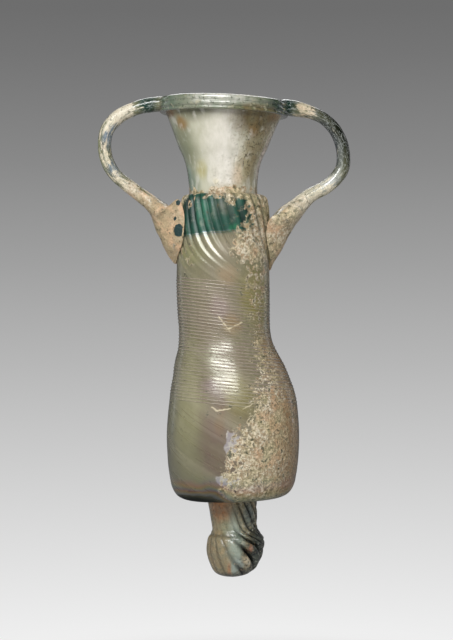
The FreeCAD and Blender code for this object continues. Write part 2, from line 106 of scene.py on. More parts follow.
class BodySizes(bpy.types.PropertyGroup):
    """Sizes of the second gather: body, shoulder and ribbed collar."""

    foot: size_property("Underside", "Tip of the toe to the body's underside", 27.5 * MM)
    height: size_property("Height", "Underside of the body to the collar's ledge", 108.7 * MM)
    hip_radius: size_property("Hip radius", "Body at its widest", HIP_REACH - 0.04 * MM)
    lean: size_property("Lean", "How far the neck stands to the left of the toe's axis", 3.4 * MM)
    wall: size_property("Wall", "Thickness of the second gather", 1.1 * MM)
    ribs: count_property("Ribs", "Ribs round the collar", 28)
    rib_depth: size_property("Rib depth", "Valleys between the collar's ribs", 0.85 * MM)


class ThreadSizes(bpy.types.PropertyGroup):
    """Sizes of the wound thread."""

    turns: count_property("Turns", "Turns of the thread round the body", 38)
    thickness: size_property("Thickness", "The thread's own, part of it in the wall", 0.62 * MM)
    drop: size_property("Start", "Ledge of the collar to the first turn", 30.5 * MM)
    band: size_property("Band", "Height of the band that the thread is wound on", 44.0 * MM)
    slope: slope_property("Slope", "Slope of the turns in front, lower on the right", 6.0)


class MouthSizes(bpy.types.PropertyGroup):
    """Sizes of the neck, the funnel and the rim band."""

    neck_radius: size_property("Neck radius", "Outside of the neck above the ledge", 12.15 * MM)
    lip_radius: size_property("Lip radius", "Outside of the funnel under the rim band", 20.9 * MM)
    funnel_height: size_property("Funnel height", "Ledge to the rim band's underside", 29.1 * MM)
    wall: size_property("Wall", "Thickness of the first gather", 1.1 * MM)
    rim_radius: size_property("Rim radius", "Rim band at its widest", RIM_REACH - 0.02 * MM)
    rim_height: size_property("Rim height", "Height of the rim band", 4.7 * MM)
    rim_tilt: slope_property("Rim tilt", "Slope of the rim, higher on the left", 2.3)


class HandleSizes(bpy.types.PropertyGroup):
    """Sizes of the two handles."""

    left_rod: size_property("Left rod", "Thickness of the left handle", 5.0 * MM)
    right_rod: size_property("Right rod", "Thickness of the right handle", 4.6 * MM)


class ToeSizes(bpy.types.PropertyGroup):
    """Sizes of the knobbed toe."""

    height: size_property("Height", "Tip of the toe to the underside of the body", TOE_TOP)
    radius: size_property("Radius", "Knob at its widest", 10.4 * MM)
    ribs: count_property("Ribs", "Ribs round the toe", 20)
    rib_depth: size_property("Rib depth", "Depth that the valleys are shares of", 1.25 * MM)


class GlassColours(bpy.types.PropertyGroup):
    """Colours of the glass and of what lies on it."""

    body: colour_property("Body glass", "Olive grey glass of the body", "77725a")
    film: colour_property("Weathering film", "Purple brown sheen on the body", "76635a")
    funnel: colour_property("Funnel glass", "Pale green glass of the funnel", "cccab4")
    collar: colour_property("Collar glass", "Deep green glass of the collar", "1f473b")
    handle: colour_property("Handle glass", "Olive grey glass of the handles", "6f7058")
    cream: colour_property("Pale crust", "Palest burial crust", "d3c9b2")
    tan: colour_property("Brown crust", "Brown burial crust", "9c8263")


# Numbers on curves and surfaces


def drawn_through(rows, count):
    """A smooth curve through rows of numbers, at evenly spread places along it.

    The place of a row is the length of the straight chords before it, over its first two numbers.
    Between two rows each number follows the cubic that has, at both, the slope of the parabola
    through that row and its neighbours.
    """
    points = np.array(rows, float)
    chords = np.linalg.norm(np.diff(points[:, :2], axis=0), axis=1)
    place = np.concatenate(([0.0], np.cumsum(chords)))
    slope = np.gradient(points, place, axis=0)
    at = np.linspace(0.0, place[-1], count)
    low = np.clip(np.searchsorted(place, at, side="right") - 1, 0, len(place) - 2)
    span = (place[low + 1] - place[low])[:, None]
    share = (at - place[low])[:, None] / span
    rest = 1 - share
    start = points[low] * (1 + 2 * share) * rest**2 + slope[low] * span * share * rest**2
    end = points[low + 1] * (3 - 2 * share) * share**2
    return start + end - slope[low + 1] * span * rest * share**2


def eased(value, low, high):
    """0 below low, 1 above high, and 3s2 - 2s3 of the share between."""
    share = np.clip((value - low) / (high - low), 0.0, 1.0)
    return share * share * (3 - 2 * share)


def grain(points, size, seed):
    """Noise from -1 to 1 in cells of a size.

    Each corner of a cubic grid has a random value, and a point blends its cell's eight corners by
    its eased shares of the way across the cell.
    """
    place = points / size
    cell = np.floor(place).astype(np.int64)
    share = place - cell
    share = share * share * (3 - 2 * share)
    total = np.zeros(points.shape[:-1])
    for corner in np.ndindex(2, 2, 2):
        key = (cell + np.array(corner)) @ np.array([73856093, 19349663, 83492791])
        key = (key + seed * 7919) & 0xFFFFFFFF
        key = ((key ^ (key >> 15)) * 0x2C1B3C6D) & 0xFFFFFFFF
        key = ((key ^ (key >> 12)) * 0x297A2D39) & 0xFFFFFFFF
        value = ((key ^ (key >> 15)) & 0xFFFF) / 0x7FFF - 1
        total += value * np.prod(np.where(corner, share, 1 - share), axis=-1)
    return total


def clouds(points, size, seed, layers=4):
    """Noise from about -1 to 1 that sums layers of grain, each half as large and half as strong."""
    layered = [grain(points, size / 2**n, seed + n) / 2**n for n in range(layers)]
    return sum(layered) / 1.5


def from_front(angle):
    """Angle from the front of the object towards its right, from -pi to pi."""
    return (angle + math.pi / 2 + math.pi) % (2 * math.pi) - math.pi


def spot(across, up, place, reach):
    """1 in the middle of an oval spot, 0 past its edge; place and reach are pairs."""
    far = np.hypot((across - place[0]) / reach[0], (up - place[1]) / reach[1])
    return 1 - eased(far, 0.25, 1.0)


def spotted(base, stains, across, up):
    """Colour in linear light: the base, then each spot's colour over it by its spot times its
    strength.
    """
    colour = np.zeros(np.broadcast(across, up).shape + (3,)) + np.array(base)
    for code, place, reach, strength in stains:
        share = strength * spot(across, up, place, reach)[..., None]
        colour = colour + share * (np.array(linear(code)) - colour)
    return colour


def all_round(count):
    """That many angles all round, as a row."""
    return np.linspace(0, 2 * math.pi, count, endpoint=False)[None, :]


# Meshes


def woven(under, over):
    """Four-sided faces between rows of points that run round, and the rows over them, by number."""
    corners = [under, np.roll(under, -1, axis=1), np.roll(over, -1, axis=1), over]
    return np.stack(corners, axis=-1).reshape(-1, 4)


def new_object(name, points, faces, marks, material):
    """A smooth object of points and faces; its marks are one or three numbers at each point."""
    mesh = bpy.data.meshes.new(name)
    mesh.from_pydata(points, [], faces)
    mesh.polygons.foreach_set("use_smooth", np.ones(len(mesh.polygons), bool))
    for mark, values in marks.items():
        three = values.size == 3 * len(points)
        kind, field = ("FLOAT_VECTOR", "vector") if three else ("FLOAT", "value")
        attribute = mesh.attributes.new(mark, kind, "POINT")
        attribute.data.foreach_set(field, values.astype(np.float32).ravel())
    mesh.materials.append(material)
    mesh.validate()
    mesh.update()
    made = bpy.data.objects.new(name, mesh)
    bpy.context.scene.collection.objects.link(made)
    return made


def add_piece(name, grid, marks, material, node):
    """Makes a closed piece of a grid of points; rows run round it, anticlockwise from above.

    The first and last row are the two ends. Where all points of an end are the same it is a pole,
    and where the ends are the same row the piece is a ring. Marks are values at the points.
    """
    rows, around = grid.shape[:2]
    ring = np.allclose(grid[0], grid[-1]) and not np.allclose(grid[0], grid[0, :1])
    kept = rows - 1 if ring else rows - 2
    first = 0 if ring else 1
    points = grid[first : first + kept].reshape(-1, 3)
    here = np.arange(kept * around).reshape(kept, around)
    over = np.roll(here, -1, axis=0) if ring else here[1:]
    under = here if ring else here[:-1]
    faces = woven(under, over).tolist()
    if not ring:
        low = np.full(around, len(points))
        faces += np.stack([low, np.roll(here[0], -1), here[0]], axis=-1).tolist()
        faces += np.stack([low + 1, here[-1], np.roll(here[-1], -1)], axis=-1).tolist()
        points = np.concatenate([points, grid[:1, 0], grid[-1:, 0]])
    flat_marks = {}
    for mark, values in marks.items():
        values = np.broadcast_to(values, (rows, around) + values.shape[2:])
        flat = values[first : first + kept].reshape(kept * around, -1)
        if not ring:
            ends = [values[end, 0].reshape(1, -1) for end in (0, -1)]
            flat = np.concatenate([flat, *ends])
        flat_marks[mark] = flat
    piece = new_object(name, points, faces, flat_marks, material)
    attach(piece, BODY)
    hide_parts(node)
    return piece


# Body, shoulder and collar

# Outline from the middle of the underside up to the ledge: height as a share of the body's height,
# radius as a share of the hip's, and share of the lean.
BODY_OUTLINE = (
    (0.000, 0.000, 0.00),
    (0.000, 0.300, 0.00),
    (0.000, 0.560, 0.00),
    (0.003, 0.690, 0.00),
    (0.009, 0.775, 0.00),
    (0.017, 0.836, 0.00),
    (0.031, 0.888, 0.00),
    (0.052, 0.930, 0.00),
    (0.078, 0.953, 0.00),
    (0.110, 0.975, 0.00),
    (0.160, 0.992, 0.00),
    (0.205, 1.000, 0.00),
    (0.262, 0.988, 0.00),
    (0.319, 0.962, 0.00),
    (0.349, 0.941, 0.04),
    (0.375, 0.912, 0.11),
    (0.405, 0.873, 0.21),
    (0.438, 0.833, 0.37),
    (0.467, 0.785, 0.53),
    (0.490, 0.740, 0.63),
    (0.523, 0.702, 0.79),
    (0.556, 0.689, 0.88),
    (0.605, 0.692, 0.97),
    (0.655, 0.699, 1.01),
    (0.737, 0.700, 1.05),
    (0.790, 0.697, 1.02),
    (0.840, 0.690, 0.95),
    (0.890, 0.684, 0.90),
    (0.935, 0.676, 0.88),
    (0.968, 0.660, 0.88),
    (0.989, 0.634, 0.90),
    (0.998, 0.590, 0.94),
    (1.000, 0.540, 1.00),
    (1.000, 0.505, 1.00),
)
# Ribs of the collar and shoulder: height share, share of the rib depth, slant from upright in
# degrees. Below the shoulder they have all but faded.
RIB_COURSE = (
    (0.300, 0.00, 62),
    (0.400, 0.03, 62),
    (0.690, 0.05, 58),
    (0.740, 0.10, 56),
    (0.780, 0.30, 50),
    (0.815, 0.60, 42),
    (0.850, 0.85, 30),
    (0.890, 1.00, 19),
    (0.935, 1.00, 15),
    (0.968, 1.00, 15),
    (0.992, 0.80, 15),
    (1.000, 0.30, 15),
)
# Steps in which the outline and the ribs' turn are worked out
OUTLINE_STEPS = 2400
TURN_STEPS = 400
# The underside tilts, higher on the right, and the tilt is gone by this share of the height.
BASE_TILT = math.tan(math.radians(1.6))
TILTED_SHARE = 0.2


class Wall:
    """The outside of the second gather, as numbers at an angle and a share of the height."""

    def __init__(self, body):
        self.body = body
        rows = np.array(BODY_OUTLINE) * (body.height, body.hip_radius, body.lean)
        outline = drawn_through(rows, OUTLINE_STEPS)
        share = outline[:, 0] / body.height
        rising = np.concatenate(([True], np.diff(np.maximum.accumulate(share)) > 0))
        self.share, self.radius, self.lean = share[rising], *outline[rising, 1:].T
        # The ribs' turn at a height is the sum, up to the ledge, of the slant's tangent over the
        # radius.
        course = np.array(RIB_COURSE)
        self.fine = np.linspace(0.0, 1.0, TURN_STEPS)
        slant = np.tan(np.radians(np.interp(self.fine, course[:, 0], course[:, 2])))
        slant /= np.maximum(np.interp(self.fine, self.share, self.radius), body.hip_radius / 2)
        climb = np.cumsum((slant[1:] + slant[:-1]) / 2 * np.diff(self.fine))
        climb = np.concatenate(([0.0], climb))
        self.turn = (climb[-1] - climb) * body.height

    def rib(self, angle, share):
        """How much of a rib's crest is here, 0 in a valley and 1 on a crest, and the ribs' depth.

        A rib's top is the parabola 1 - (2t - 1)2 of the share t of the way from valley to valley,
        counted along the angle less the ribs' own turn at this height. Ribs from a worn mould
        differ: their widths wander by two sines round the wall and their depth by a third.
        """
        straight = angle - np.interp(share, self.fine, self.turn)
        uneven = straight + 0.022 * np.sin(3 * straight + 0.7) + 0.012 * np.sin(7 * straight + 2.1)
        way = (uneven * self.body.ribs / (2 * math.pi)) % 1.0
        course = np.array(RIB_COURSE)
        depth = np.interp(share, course[:, 0], course[:, 1]) * self.body.rib_depth
        return 1 - (2 * way - 1) ** 2, depth * (1 + 0.25 * np.sin(2 * straight + 1.0))

    def centre(self, share):
        """x of the middle of the body at a height share."""
        return -np.interp(share, self.share, self.lean)

    def reach(self, angle, share):
        """Radius of the glass at an angle and a height share."""
        crest, depth = self.rib(angle, share)
        return np.interp(share, self.share, self.radius) - depth * (1 - crest)

    def rise(self, x, share):
        """Height in metres: the share of the body's height over the underside, which is tilted."""
        tilt = BASE_TILT * np.clip(1 - share / TILTED_SHARE, 0, 1)
        return self.body.foot + share * self.body.height + tilt * x


# Boundary of the crust in front: height share, and degrees from the front towards the right at
# which the crust starts.
CRUST_EDGE = (
    (0.00, -14.0),
    (0.03, -14.0),
    (0.08, -10.0),
    (0.13, -1.0),
    (0.19, 3.0),
    (0.26, 10.0),
    (0.33, 18.0),
    (0.39, 21.0),
    (0.43, 24.0),
    (0.50, 28.0),
    (0.56, 36.0),
    (0.70, 30.0),
    (0.76, 26.0),
    (0.82, 12.0),
    (0.87, 14.0),
    (0.93, 20.0),
    (1.00, 16.0),
)
# Degrees from the front over which the crust ends behind
CRUST_END = (150.0, 175.0)
# Patches of crust by themselves: strength, place and reach in degrees and height share, and how
# much of the boundary's wander they take. Left pad, left shoulder, two that hang on the collar.
CRUST_PATCHES = (
    (0.90, (-84, 0.920), (26, 0.120), 1),
    (0.34, (-58, 0.800), (40, 0.090), 0),
    (0.95, (8, 0.972), (11, 0.030), 0),
    (0.80, (-9, 0.985), (9, 0.014), 0),
)
# Dull lilac bloom in front, on the hip: place and reach, as above.
LILAC_PATCHES = (((0, 0.185), (12, 0.07)), ((-4, 0.080), (18, 0.03)))
# Stains: sRGB hex, place and reach in degrees from the front and height share, strength.
BODY_STAINS = (
    ("6b6954", (-76.0, 0.30), (30.0, 0.46), 0.8),
    ("94906f", (-46.0, 0.32), (22.0, 0.28), 0.8),
    ("6d5951", (-10.0, 0.22), (28.0, 0.30), 0.85),
    ("7d6470", (-20.0, 0.37), (14.0, 0.05), 0.6),
    ("7b7242", (8.0, 0.35), (19.0, 0.11), 0.9),
    ("75573f", (-9.0, 0.27), (8.0, 0.07), 0.6),
    ("8a6447", (-46.0, 0.045), (40.0, 0.035), 0.7),
    ("a08366", (8.0, 0.735), (22.0, 0.05), 0.5),
    ("8d7678", (-4.0, 0.635), (18.0, 0.07), 0.6),
    ("857a3f", (46.0, 0.66), (34.0, 0.15), 0.9),
    ("8d6f4c", (10.0, 0.575), (17.0, 0.05), 0.7),
    ("84825a", (-48.0, 0.80), (36.0, 0.05), 0.7),
    ("8f8572", (8.0, 0.835), (26.0, 0.035), 0.7),
    ("cfc3a0", (-6.0, 0.020), (9.0, 0.020), 0.9),
    ("06201b", (-50.0, 0.000), (66.0, 0.050), 1.0),
)
# Stains of the collar's green glass, in the same way
COLLAR_STAINS = (
    ("2f6b53", (-26.0, 0.94), (20.0, 0.08), 0.8),
    ("67675a", (0.0, 0.955), (13.0, 0.040), 0.8),
    ("06100f", (-60.0, 0.970), (15.0, 0.050), 0.98),
    ("0d2422", (-49.0, 0.925), (12.0, 0.045), 0.85),
    ("0c1516", (25.0, 0.930), (10.0, 0.055), 0.9),
    ("5e6a5c", (-12.0, 0.950), (7.0, 0.050), 0.6),
    ("3f4c44", (8.0, 0.940), (6.0, 0.060), 0.7),
    ("25744f", (12.0, 0.885), (9.0, 0.020), 0.85),
    ("56503a", (58.0, 0.930), (22.0, 0.080), 0.8),
    ("4b4a40", (130.0, 0.930), (60.0, 0.080), 0.6),
)
# Rows of the outside, and points all round
BODY_ROWS = 176
BODY_AROUND = 480
# One row inside the wall for this many outside
INSIDE_STEP = 6
# How far crust, and the lumps along the ledge, stand out
CRUST_RELIEF = 0.14 * MM
LEDGE_RELIEF = 0.30 * MM


def crust_on_body(front, share, flat, wander):
    """Shares of crust, of the lumps along the ledge, and of the drips that hang from it.

    Crust is the eased way from 14 degrees before its boundary in front to 22 past it, where the
    boundary wanders by noise. It is thinned on the far right of the lower body and at the waist,
    and each patch is a spot laid over it. Lumps and drips are noise, eased in below the ledge.
    """
    edge = np.interp(share[:, 0], *np.array(CRUST_EDGE).T)[:, None]
    crust = eased(front - edge + wander, -14.0, 22.0) * (1 - eased(front, *CRUST_END))
    crust *= 0.86 - 0.34 * eased(front + wander, 38.0, 66.0) * (1 - eased(share, 0.62, 0.76))
    crust *= 1 - 0.35 * eased(share, 0.46, 0.56) * (1 - eased(share, 0.76, 0.80))
    for strength, place, reach, own in CRUST_PATCHES:
        crust = np.maximum(crust, strength * spot(front + own * wander, share, place, reach))
    ledge = eased(share, 0.975, 0.992) * eased(clouds(flat, 4 * MM, 21) + 0.75, 0.1, 0.7)
    hanging = clouds(flat * (1, 1, 0.35), 3.2 * MM, 25)
    drips = eased(share, 0.93, 0.985) * eased(hanging + 0.05, 0.1, 0.5)
    return crust, ledge, drips


def painted_shade_on_body(front, share, flat):
    """Share of painted shade: it fades upwards from the underside, and a long spot is on the left.
    """
    grime = 0.25 + 0.45 * (1 - eased(front, -24.0, 2.0)) * (1 - eased(share, 0.0, 0.14))
    grime = grime * (1 - eased(share + 0.012 * clouds(flat, 6 * MM, 47, 3), 0.004, 0.10))
    return np.maximum(grime, 0.95 * spot(front, share, (-52.0, 0.0), (74.0, 0.048)))


def build_sheath(body, colours):
    """Second gather: the outline from the underside's pole to the ledge, then down the inside.

    Its outside stands out from the middle line by the outline's radius, less the valleys of the
    ribs, plus crust; its inside is the same outline, drawn in by the wall.
    """
    wall = Wall(body)
    sizes = (body.height, body.hip_radius, body.lean)
    outside = drawn_through(np.array(BODY_OUTLINE) * sizes, BODY_ROWS)
    inside = outside[::-INSIDE_STEP].copy()
    inside[:, 1] = np.clip(inside[:, 1] - body.wall, 0.0, None)
    inside[:, 0] = np.clip(inside[:, 0], body.wall, body.height - 2 * body.wall)
    inside[-1, 1] = 0.0
    rows = np.concatenate([outside, inside])
    share = (rows[:, 0] / body.height)[:, None]
    angle = all_round(BODY_AROUND)
    outer = (np.arange(len(rows)) < len(outside))[:, None]
    crest, depth = wall.rib(angle, share)
    front = np.degrees(from_front(angle)) + 0 * share
    level = share * body.height + 0 * angle
    flat = np.stack([rows[:, 1:2] * np.cos(angle), rows[:, 1:2] * np.sin(angle), level], axis=-1)

    wander = 12.0 * clouds(flat, 11 * MM, 3)
    crust, ledge, drips = crust_on_body(front, share, flat, wander)
    crust = np.clip(np.maximum(np.maximum(crust, ledge), drips), 0, 1) * outer
    brown = eased(front + wander, 30.0, 62.0) * (1 - eased(front, *CRUST_END))
    brown *= 1 - eased(share, 0.46, 0.60)
    green = share - 0.0002 * front + 0.004 * clouds(flat, 3 * MM, 27)
    green = eased(green, 0.862, 0.880) * outer
    lilac = [spot(front, share, *spread) for spread in LILAC_PATCHES]
    film = eased(clouds(flat * (1, 1, 0.5), 16 * MM, 41), -0.3, 0.9) * outer
    blur = 7.0 * clouds(flat, 9 * MM, 43)
    plain, filmed = np.array(colours.body), np.array(colours.film)
    base = plain + film[..., None] * (filmed - plain)
    lifted = share + 0.0012 * blur * np.clip(share / 0.05, 0, 1)
    stain = spotted(base, BODY_STAINS, front + blur, lifted)
    # Painted shade: the lower body darkens towards the underside.
    stain *= (0.78 + 0.20 * eased(share, 0.08, 0.30))[..., None]

    relief = CRUST_RELIEF * crust * (0.6 + 0.8 * clouds(flat, 1.6 * MM, 8, 3))
    lumps = 0.4 + clouds(flat, 2.4 * MM, 33, 3)
    relief += LEDGE_RELIEF * (ledge + 0.6 * drips) * outer * lumps
    relief *= np.clip((rows[:, 1] / (2 * MM)), 0, 1)[:, None]
    relief = np.minimum(relief, body.hip_radius - rows[:, 1:2])
    ribbed = outer * eased(rows[:, 1:2], 0.4 * body.hip_radius, 0.6 * body.hip_radius)
    reach = rows[:, 1:2] - depth * (1 - crest) * ribbed + relief
    x = -rows[:, 2:3] + reach * np.cos(angle)
    y = reach * np.sin(angle)
    z = wall.rise(x, share)
    turned = angle - np.interp(share, wall.fine, wall.turn)
    marks = {
        "crust": crust,
        "green": green,
        "lilac": np.maximum(*lilac),
        "brown": brown,
        "valley": (1 - crest) * outer,
        "stain": stain,
        "glass": spotted(tuple(colours.collar), COLLAR_STAINS, front + 0.5 * blur, share),
        "grime": painted_shade_on_body(front, share, flat) * outer,
        "drawn": np.stack([reach * np.cos(turned), reach * np.sin(turned), z], axis=-1),
    }
    grid = np.stack([x, y, z], axis=-1)
    material = weathered_body_glass(colours)
    return add_piece("ribbed_body", grid, marks, material, "ribbed_sheath")


# Wound thread

# Radius of the body under the thread, as a share of the hip's
WAIST_SHARE = 0.7
THREAD_STEPS_A_TURN = 110
THREAD_SIDES = 8
# How far the thread strays up and down
THREAD_WOBBLE = 0.16 * MM
# Share of the thread's half thickness that is in the wall
THREAD_SUNK = 0.35


def build_thread(body, thread, colours):
    """One thread: a round section carried along a helix that lies on the wall.

    At a share t of its way the helix has come down by t times the band's height, plus its dip to
    the right: the slope's tangent times the waist's radius times the cosine of the angle.
    """
    wall = Wall(body)
    angle = np.linspace(0, 2 * math.pi * thread.turns, thread.turns * THREAD_STEPS_A_TURN)
    way = angle / (2 * math.pi * thread.turns)
    spread = np.stack([np.cos(angle) * 9, np.sin(angle) * 9, way * 120], axis=-1) * MM
    wobble = THREAD_WOBBLE * grain(spread, 9 * MM, 5)
    dip = math.tan(thread.slope) * WAIST_SHARE * body.hip_radius * np.cos(angle)
    height = body.height - thread.drop - thread.band * way - dip + wobble
    share = height / body.height
    worn = 0.45 + 0.55 * eased(grain(spread, 7 * MM, 9) + 0.6, 0.0, 0.7)
    tapered = eased(np.minimum(way, 1 - way) * thread.turns, 0.0, 0.4)
    thick = (thread.thickness / 2 * worn * tapered)[:, None]
    around = all_round(THREAD_SIDES)
    reach = wall.reach(angle, share)[:, None] - thick * THREAD_SUNK + thick * np.cos(around)
    x = wall.centre(share)[:, None] + reach * np.cos(angle)[:, None]
    y = reach * np.sin(angle)[:, None]
    z = wall.rise(x, share[:, None]) - thick * np.sin(around)
    grid = np.stack([x, y, z], axis=-1)
    first, last = (row.mean(axis=0) + 0 * row for row in (grid[0], grid[-1]))
    grid = np.concatenate([first[None], grid, last[None]])
    front = np.degrees(from_front(angle % (2 * math.pi)))
    edge = np.interp(share, *np.array(CRUST_EDGE).T)
    crust = eased(front - edge + 11.0 * grain(spread, 7 * MM, 3), -3.0, 9.0)
    crust *= 0.45 * (1 - eased(front, *CRUST_END))
    stain = spotted(tuple(colours.film), BODY_STAINS, front, share)
    crust, stain = (np.concatenate([mark[:1], mark, mark[-1:]])[:, None] for mark in (crust, stain))
    crust = crust + 0 * around
    stain = stain + 0 * around[..., None]
    marks = {"crust": crust, "stain": stain, "thread": 0 * crust + 1, "drawn": grid}
    material = weathered_body_glass(colours)
    return add_piece("wound_thread", grid, marks, material, "thread_trail")


# Mouth

# Outline of the neck and funnel: height as a share from the ledge to the rim band, and how far the
# wall has opened from the neck to the lip.
FUNNEL_OUTLINE = (
    (-0.060, 0.000),
    (0.000, 0.000),
    (0.100, 0.005),
    (0.190, 0.030),
    (0.300, 0.085),
    (0.365, 0.130),
    (0.460, 0.240),
    (0.560, 0.395),
    (0.700, 0.580),
    (0.830, 0.750),
    (0.920, 0.875),
    (1.000, 0.985),
    (1.060, 1.000),
    (1.150, 1.000),
)
# Spots of colour, as on the body; the height share runs from the ledge to the rim band. Among them
# are a painted highlight down the front, a painted shadow under the rim band and a painted
# highlight along the right edge.
FUNNEL_SPOTS = (
    # Pale film down the front, with a painted highlight on it
    ("ece7dc", (2.0, 0.50), (38.0, 1.40), 1.0),
    ("c9bfa2", (34.0, 0.30), (24.0, 0.40), 0.7),
    ("8b9a86", (-72.0, 0.50), (36.0, 0.60), 0.75),
    ("64887e", (-66.0, 0.12), (32.0, 0.30), 0.8),
    ("b9b070", (-36.0, 0.28), (15.0, 0.16), 0.7),
    ("857650", (50.0, 0.50), (28.0, 0.70), 0.8),
    # Painted shadow under the rim band
    ("5f604c", (-34.0, 1.02), (52.0, 0.22), 0.9),
    ("8b8f74", (-54.0, 0.62), (26.0, 0.50), 0.85),
    # Painted highlight along the right edge
    ("f2e2dc", (78.0, 0.52), (13.0, 0.50), 1.0),
    ("57492a", (36.0, 0.92), (42.0, 0.36), 1.0),
    ("7c5a26", (38.0, 0.76), (14.0, 0.10), 0.7),
    ("9a6f34", (-50.0, 0.84), (15.0, 0.12), 0.8),
    ("7f5a2c", (-74.0, 0.96), (26.0, 0.10), 0.9),
    ("8f6a36", (66.0, 0.93), (18.0, 0.09), 0.8),
    ("d9bca0", (24.0, 0.20), (15.0, 0.22), 0.5),
    ("f0e8d0", (-12.0, 0.14), (7.0, 0.05), 0.9),
    ("d2c8ae", (12.0, 0.02), (46.0, 0.12), 0.9),
    ("8e7f5c", (150.0, 0.60), (40.0, 0.60), 0.6),
)
FUNNEL_ROWS = 90
FUNNEL_AROUND = 256
# The lining goes down inside the body: its rows, its reach in shares of the height, and its gap.
LINING_ROWS = 40
LINING_REACH = (0.02, 0.975)
LINING_GAP = 0.4 * MM
# Steps over the lip, and depth of the dents in the wall
LIP_STEPS = 7
FUNNEL_DENTS = 0.14 * MM


def tipped(points, middle, tilt):
    """Points turned about the Y axis through a middle point, so that the left side rises."""
    x = points[..., 0] - middle[0]
    z = points[..., 2] - middle[1]
    turned = points.copy()
    turned[..., 0] = middle[0] + x * np.cos(tilt) + z * np.sin(tilt)
    turned[..., 2] = middle[1] - x * np.sin(tilt) + z * np.cos(tilt)
    return turned


def build_flask(body, mouth, colours):
    """First gather: the funnel's outline opened from neck to lip, over it and down the inside.

    Below the ledge it goes on inside the body's wall, drawn in from the body's own outline. Each
    point is turned about the lip's middle by the rim's tilt times the share of the funnel's height.
    """
    wall = Wall(body)
    ledge = body.foot + body.height
    funnel = drawn_through(np.array(FUNNEL_OUTLINE) * (2.0, 1.0), FUNNEL_ROWS) / (2.0, 1.0)
    up = ledge + funnel[:, 0] * mouth.funnel_height
    out = mouth.neck_radius + (mouth.lip_radius - mouth.neck_radius) * funnel[:, 1]
    low = np.linspace(*LINING_REACH, LINING_ROWS)
    low_out = np.interp(low, wall.share, wall.radius) - body.wall - LINING_GAP
    low_up = body.foot + low * body.height
    low_x = wall.centre(low)
    over = np.linspace(0, math.pi, LIP_STEPS)[1:-1]
    lip_out = out[-1] - mouth.wall / 2 + mouth.wall / 2 * np.cos(over)
    lip_up = up[-1] + mouth.wall / 2 * np.sin(over)
    neck_x = np.full_like(up, -body.lean)
    back_out, back_low_out = (out - mouth.wall)[::-1], (low_out - mouth.wall)[::-1]
    columns = (
        ([0], low_out, out, lip_out, back_out, back_low_out, [0]),
        (low_up[:1], low_up, up, lip_up, up[::-1], low_up[::-1], low_up[:1] + mouth.wall),
        (low_x[:1], low_x, neck_x, neck_x[: len(over)], neck_x, low_x[::-1], low_x[:1]),
    )
    radius, height, middle = (np.concatenate(column)[:, None] for column in columns)
    angle = all_round(FUNNEL_AROUND)
    level = np.clip((height - ledge) / mouth.funnel_height, 0, 1.2)
    flat = np.stack([radius * np.cos(angle), radius * np.sin(angle), height + 0 * angle], axis=-1)
    dents = FUNNEL_DENTS * clouds(flat, 12 * MM, 51, 3) * eased(level, 0.05, 0.3)
    radius = np.clip(radius + dents * (radius > 0), 0, None)
    x = middle + radius * np.cos(angle)
    grid = np.stack([x, radius * np.sin(angle), height + 0 * angle], axis=-1)
    lip = (-body.lean, ledge + mouth.funnel_height)
    grid = tipped(grid, lip, mouth.rim_tilt * np.clip(level, 0, 1) + 0 * angle)
    front = np.degrees(from_front(angle)) + 0 * radius
    blur = 6.0 * clouds(flat * (1, 1, 0.6), 7 * MM, 65)
    right = eased(front + blur, 0.0, 42.0) * (1 - eased(front, 85.0, 120.0))
    dust = right * eased(level, 0.1, 0.5) + 0.4 * eased(clouds(flat, 12 * MM, 61), 0.0, 0.8)
    crust = (1 - eased(level, 0.02, 0.15)) * eased(clouds(flat, 3 * MM, 63) + 0.45, 0.0, 0.5)
    marks = {
        "stain": spotted(tuple(colours.funnel), FUNNEL_SPOTS, front + blur, level + 0.006 * blur),
        "dust": np.clip(dust, 0, 1),
        "crust": crust,
    }
    material = blown_funnel_glass(colours)
    return add_piece("funnel_flask", grid, marks, material, "inner_flask")


# Section of the rim band: radius from the lip's as a share of the band's width, and height as a
# share of the band's height. Three beads with grooves between them.
RIM_SECTION = (
    (0.02, -0.06),
    (0.40, -0.13),
    (0.70, -0.12),
    (0.84, -0.04),
    (0.82, 0.06),
    (0.75, 0.11),
    (0.87, 0.18),
    (0.98, 0.32),
    (0.95, 0.45),
    (0.84, 0.53),
    (0.95, 0.61),
    (1.00, 0.75),
    (0.94, 0.90),
    (0.78, 0.975),
    (0.45, 1.00),
    (0.10, 0.99),
    (0.00, 0.90),
    (0.00, 0.40),
    (0.02, -0.06),
)
# Spots of colour, as on the body; the height share is the band's own. The first is a painted
# highlight across the front.
RIM_SPOTS = (
    # Painted highlight across the front
    ("d2d0c6", (-4.0, 0.7), (38.0, 0.8), 0.9),
    ("5f7264", (-64.0, 0.5), (30.0, 3.0), 0.7),
    ("12332b", (66.0, 0.5), (34.0, 3.0), 1.0),
    ("6d5c34", (30.0, 0.0), (34.0, 0.6), 0.8),
    ("7a5530", (-86.0, 0.2), (14.0, 0.7), 0.7),
)
RIM_ROWS = 64
RIM_AROUND = 288
# How far the band goes in over the lip, and how far it drifts up and down
RIM_OVERLAP = 0.3 * MM
RIM_DRIFT = 0.12 * MM


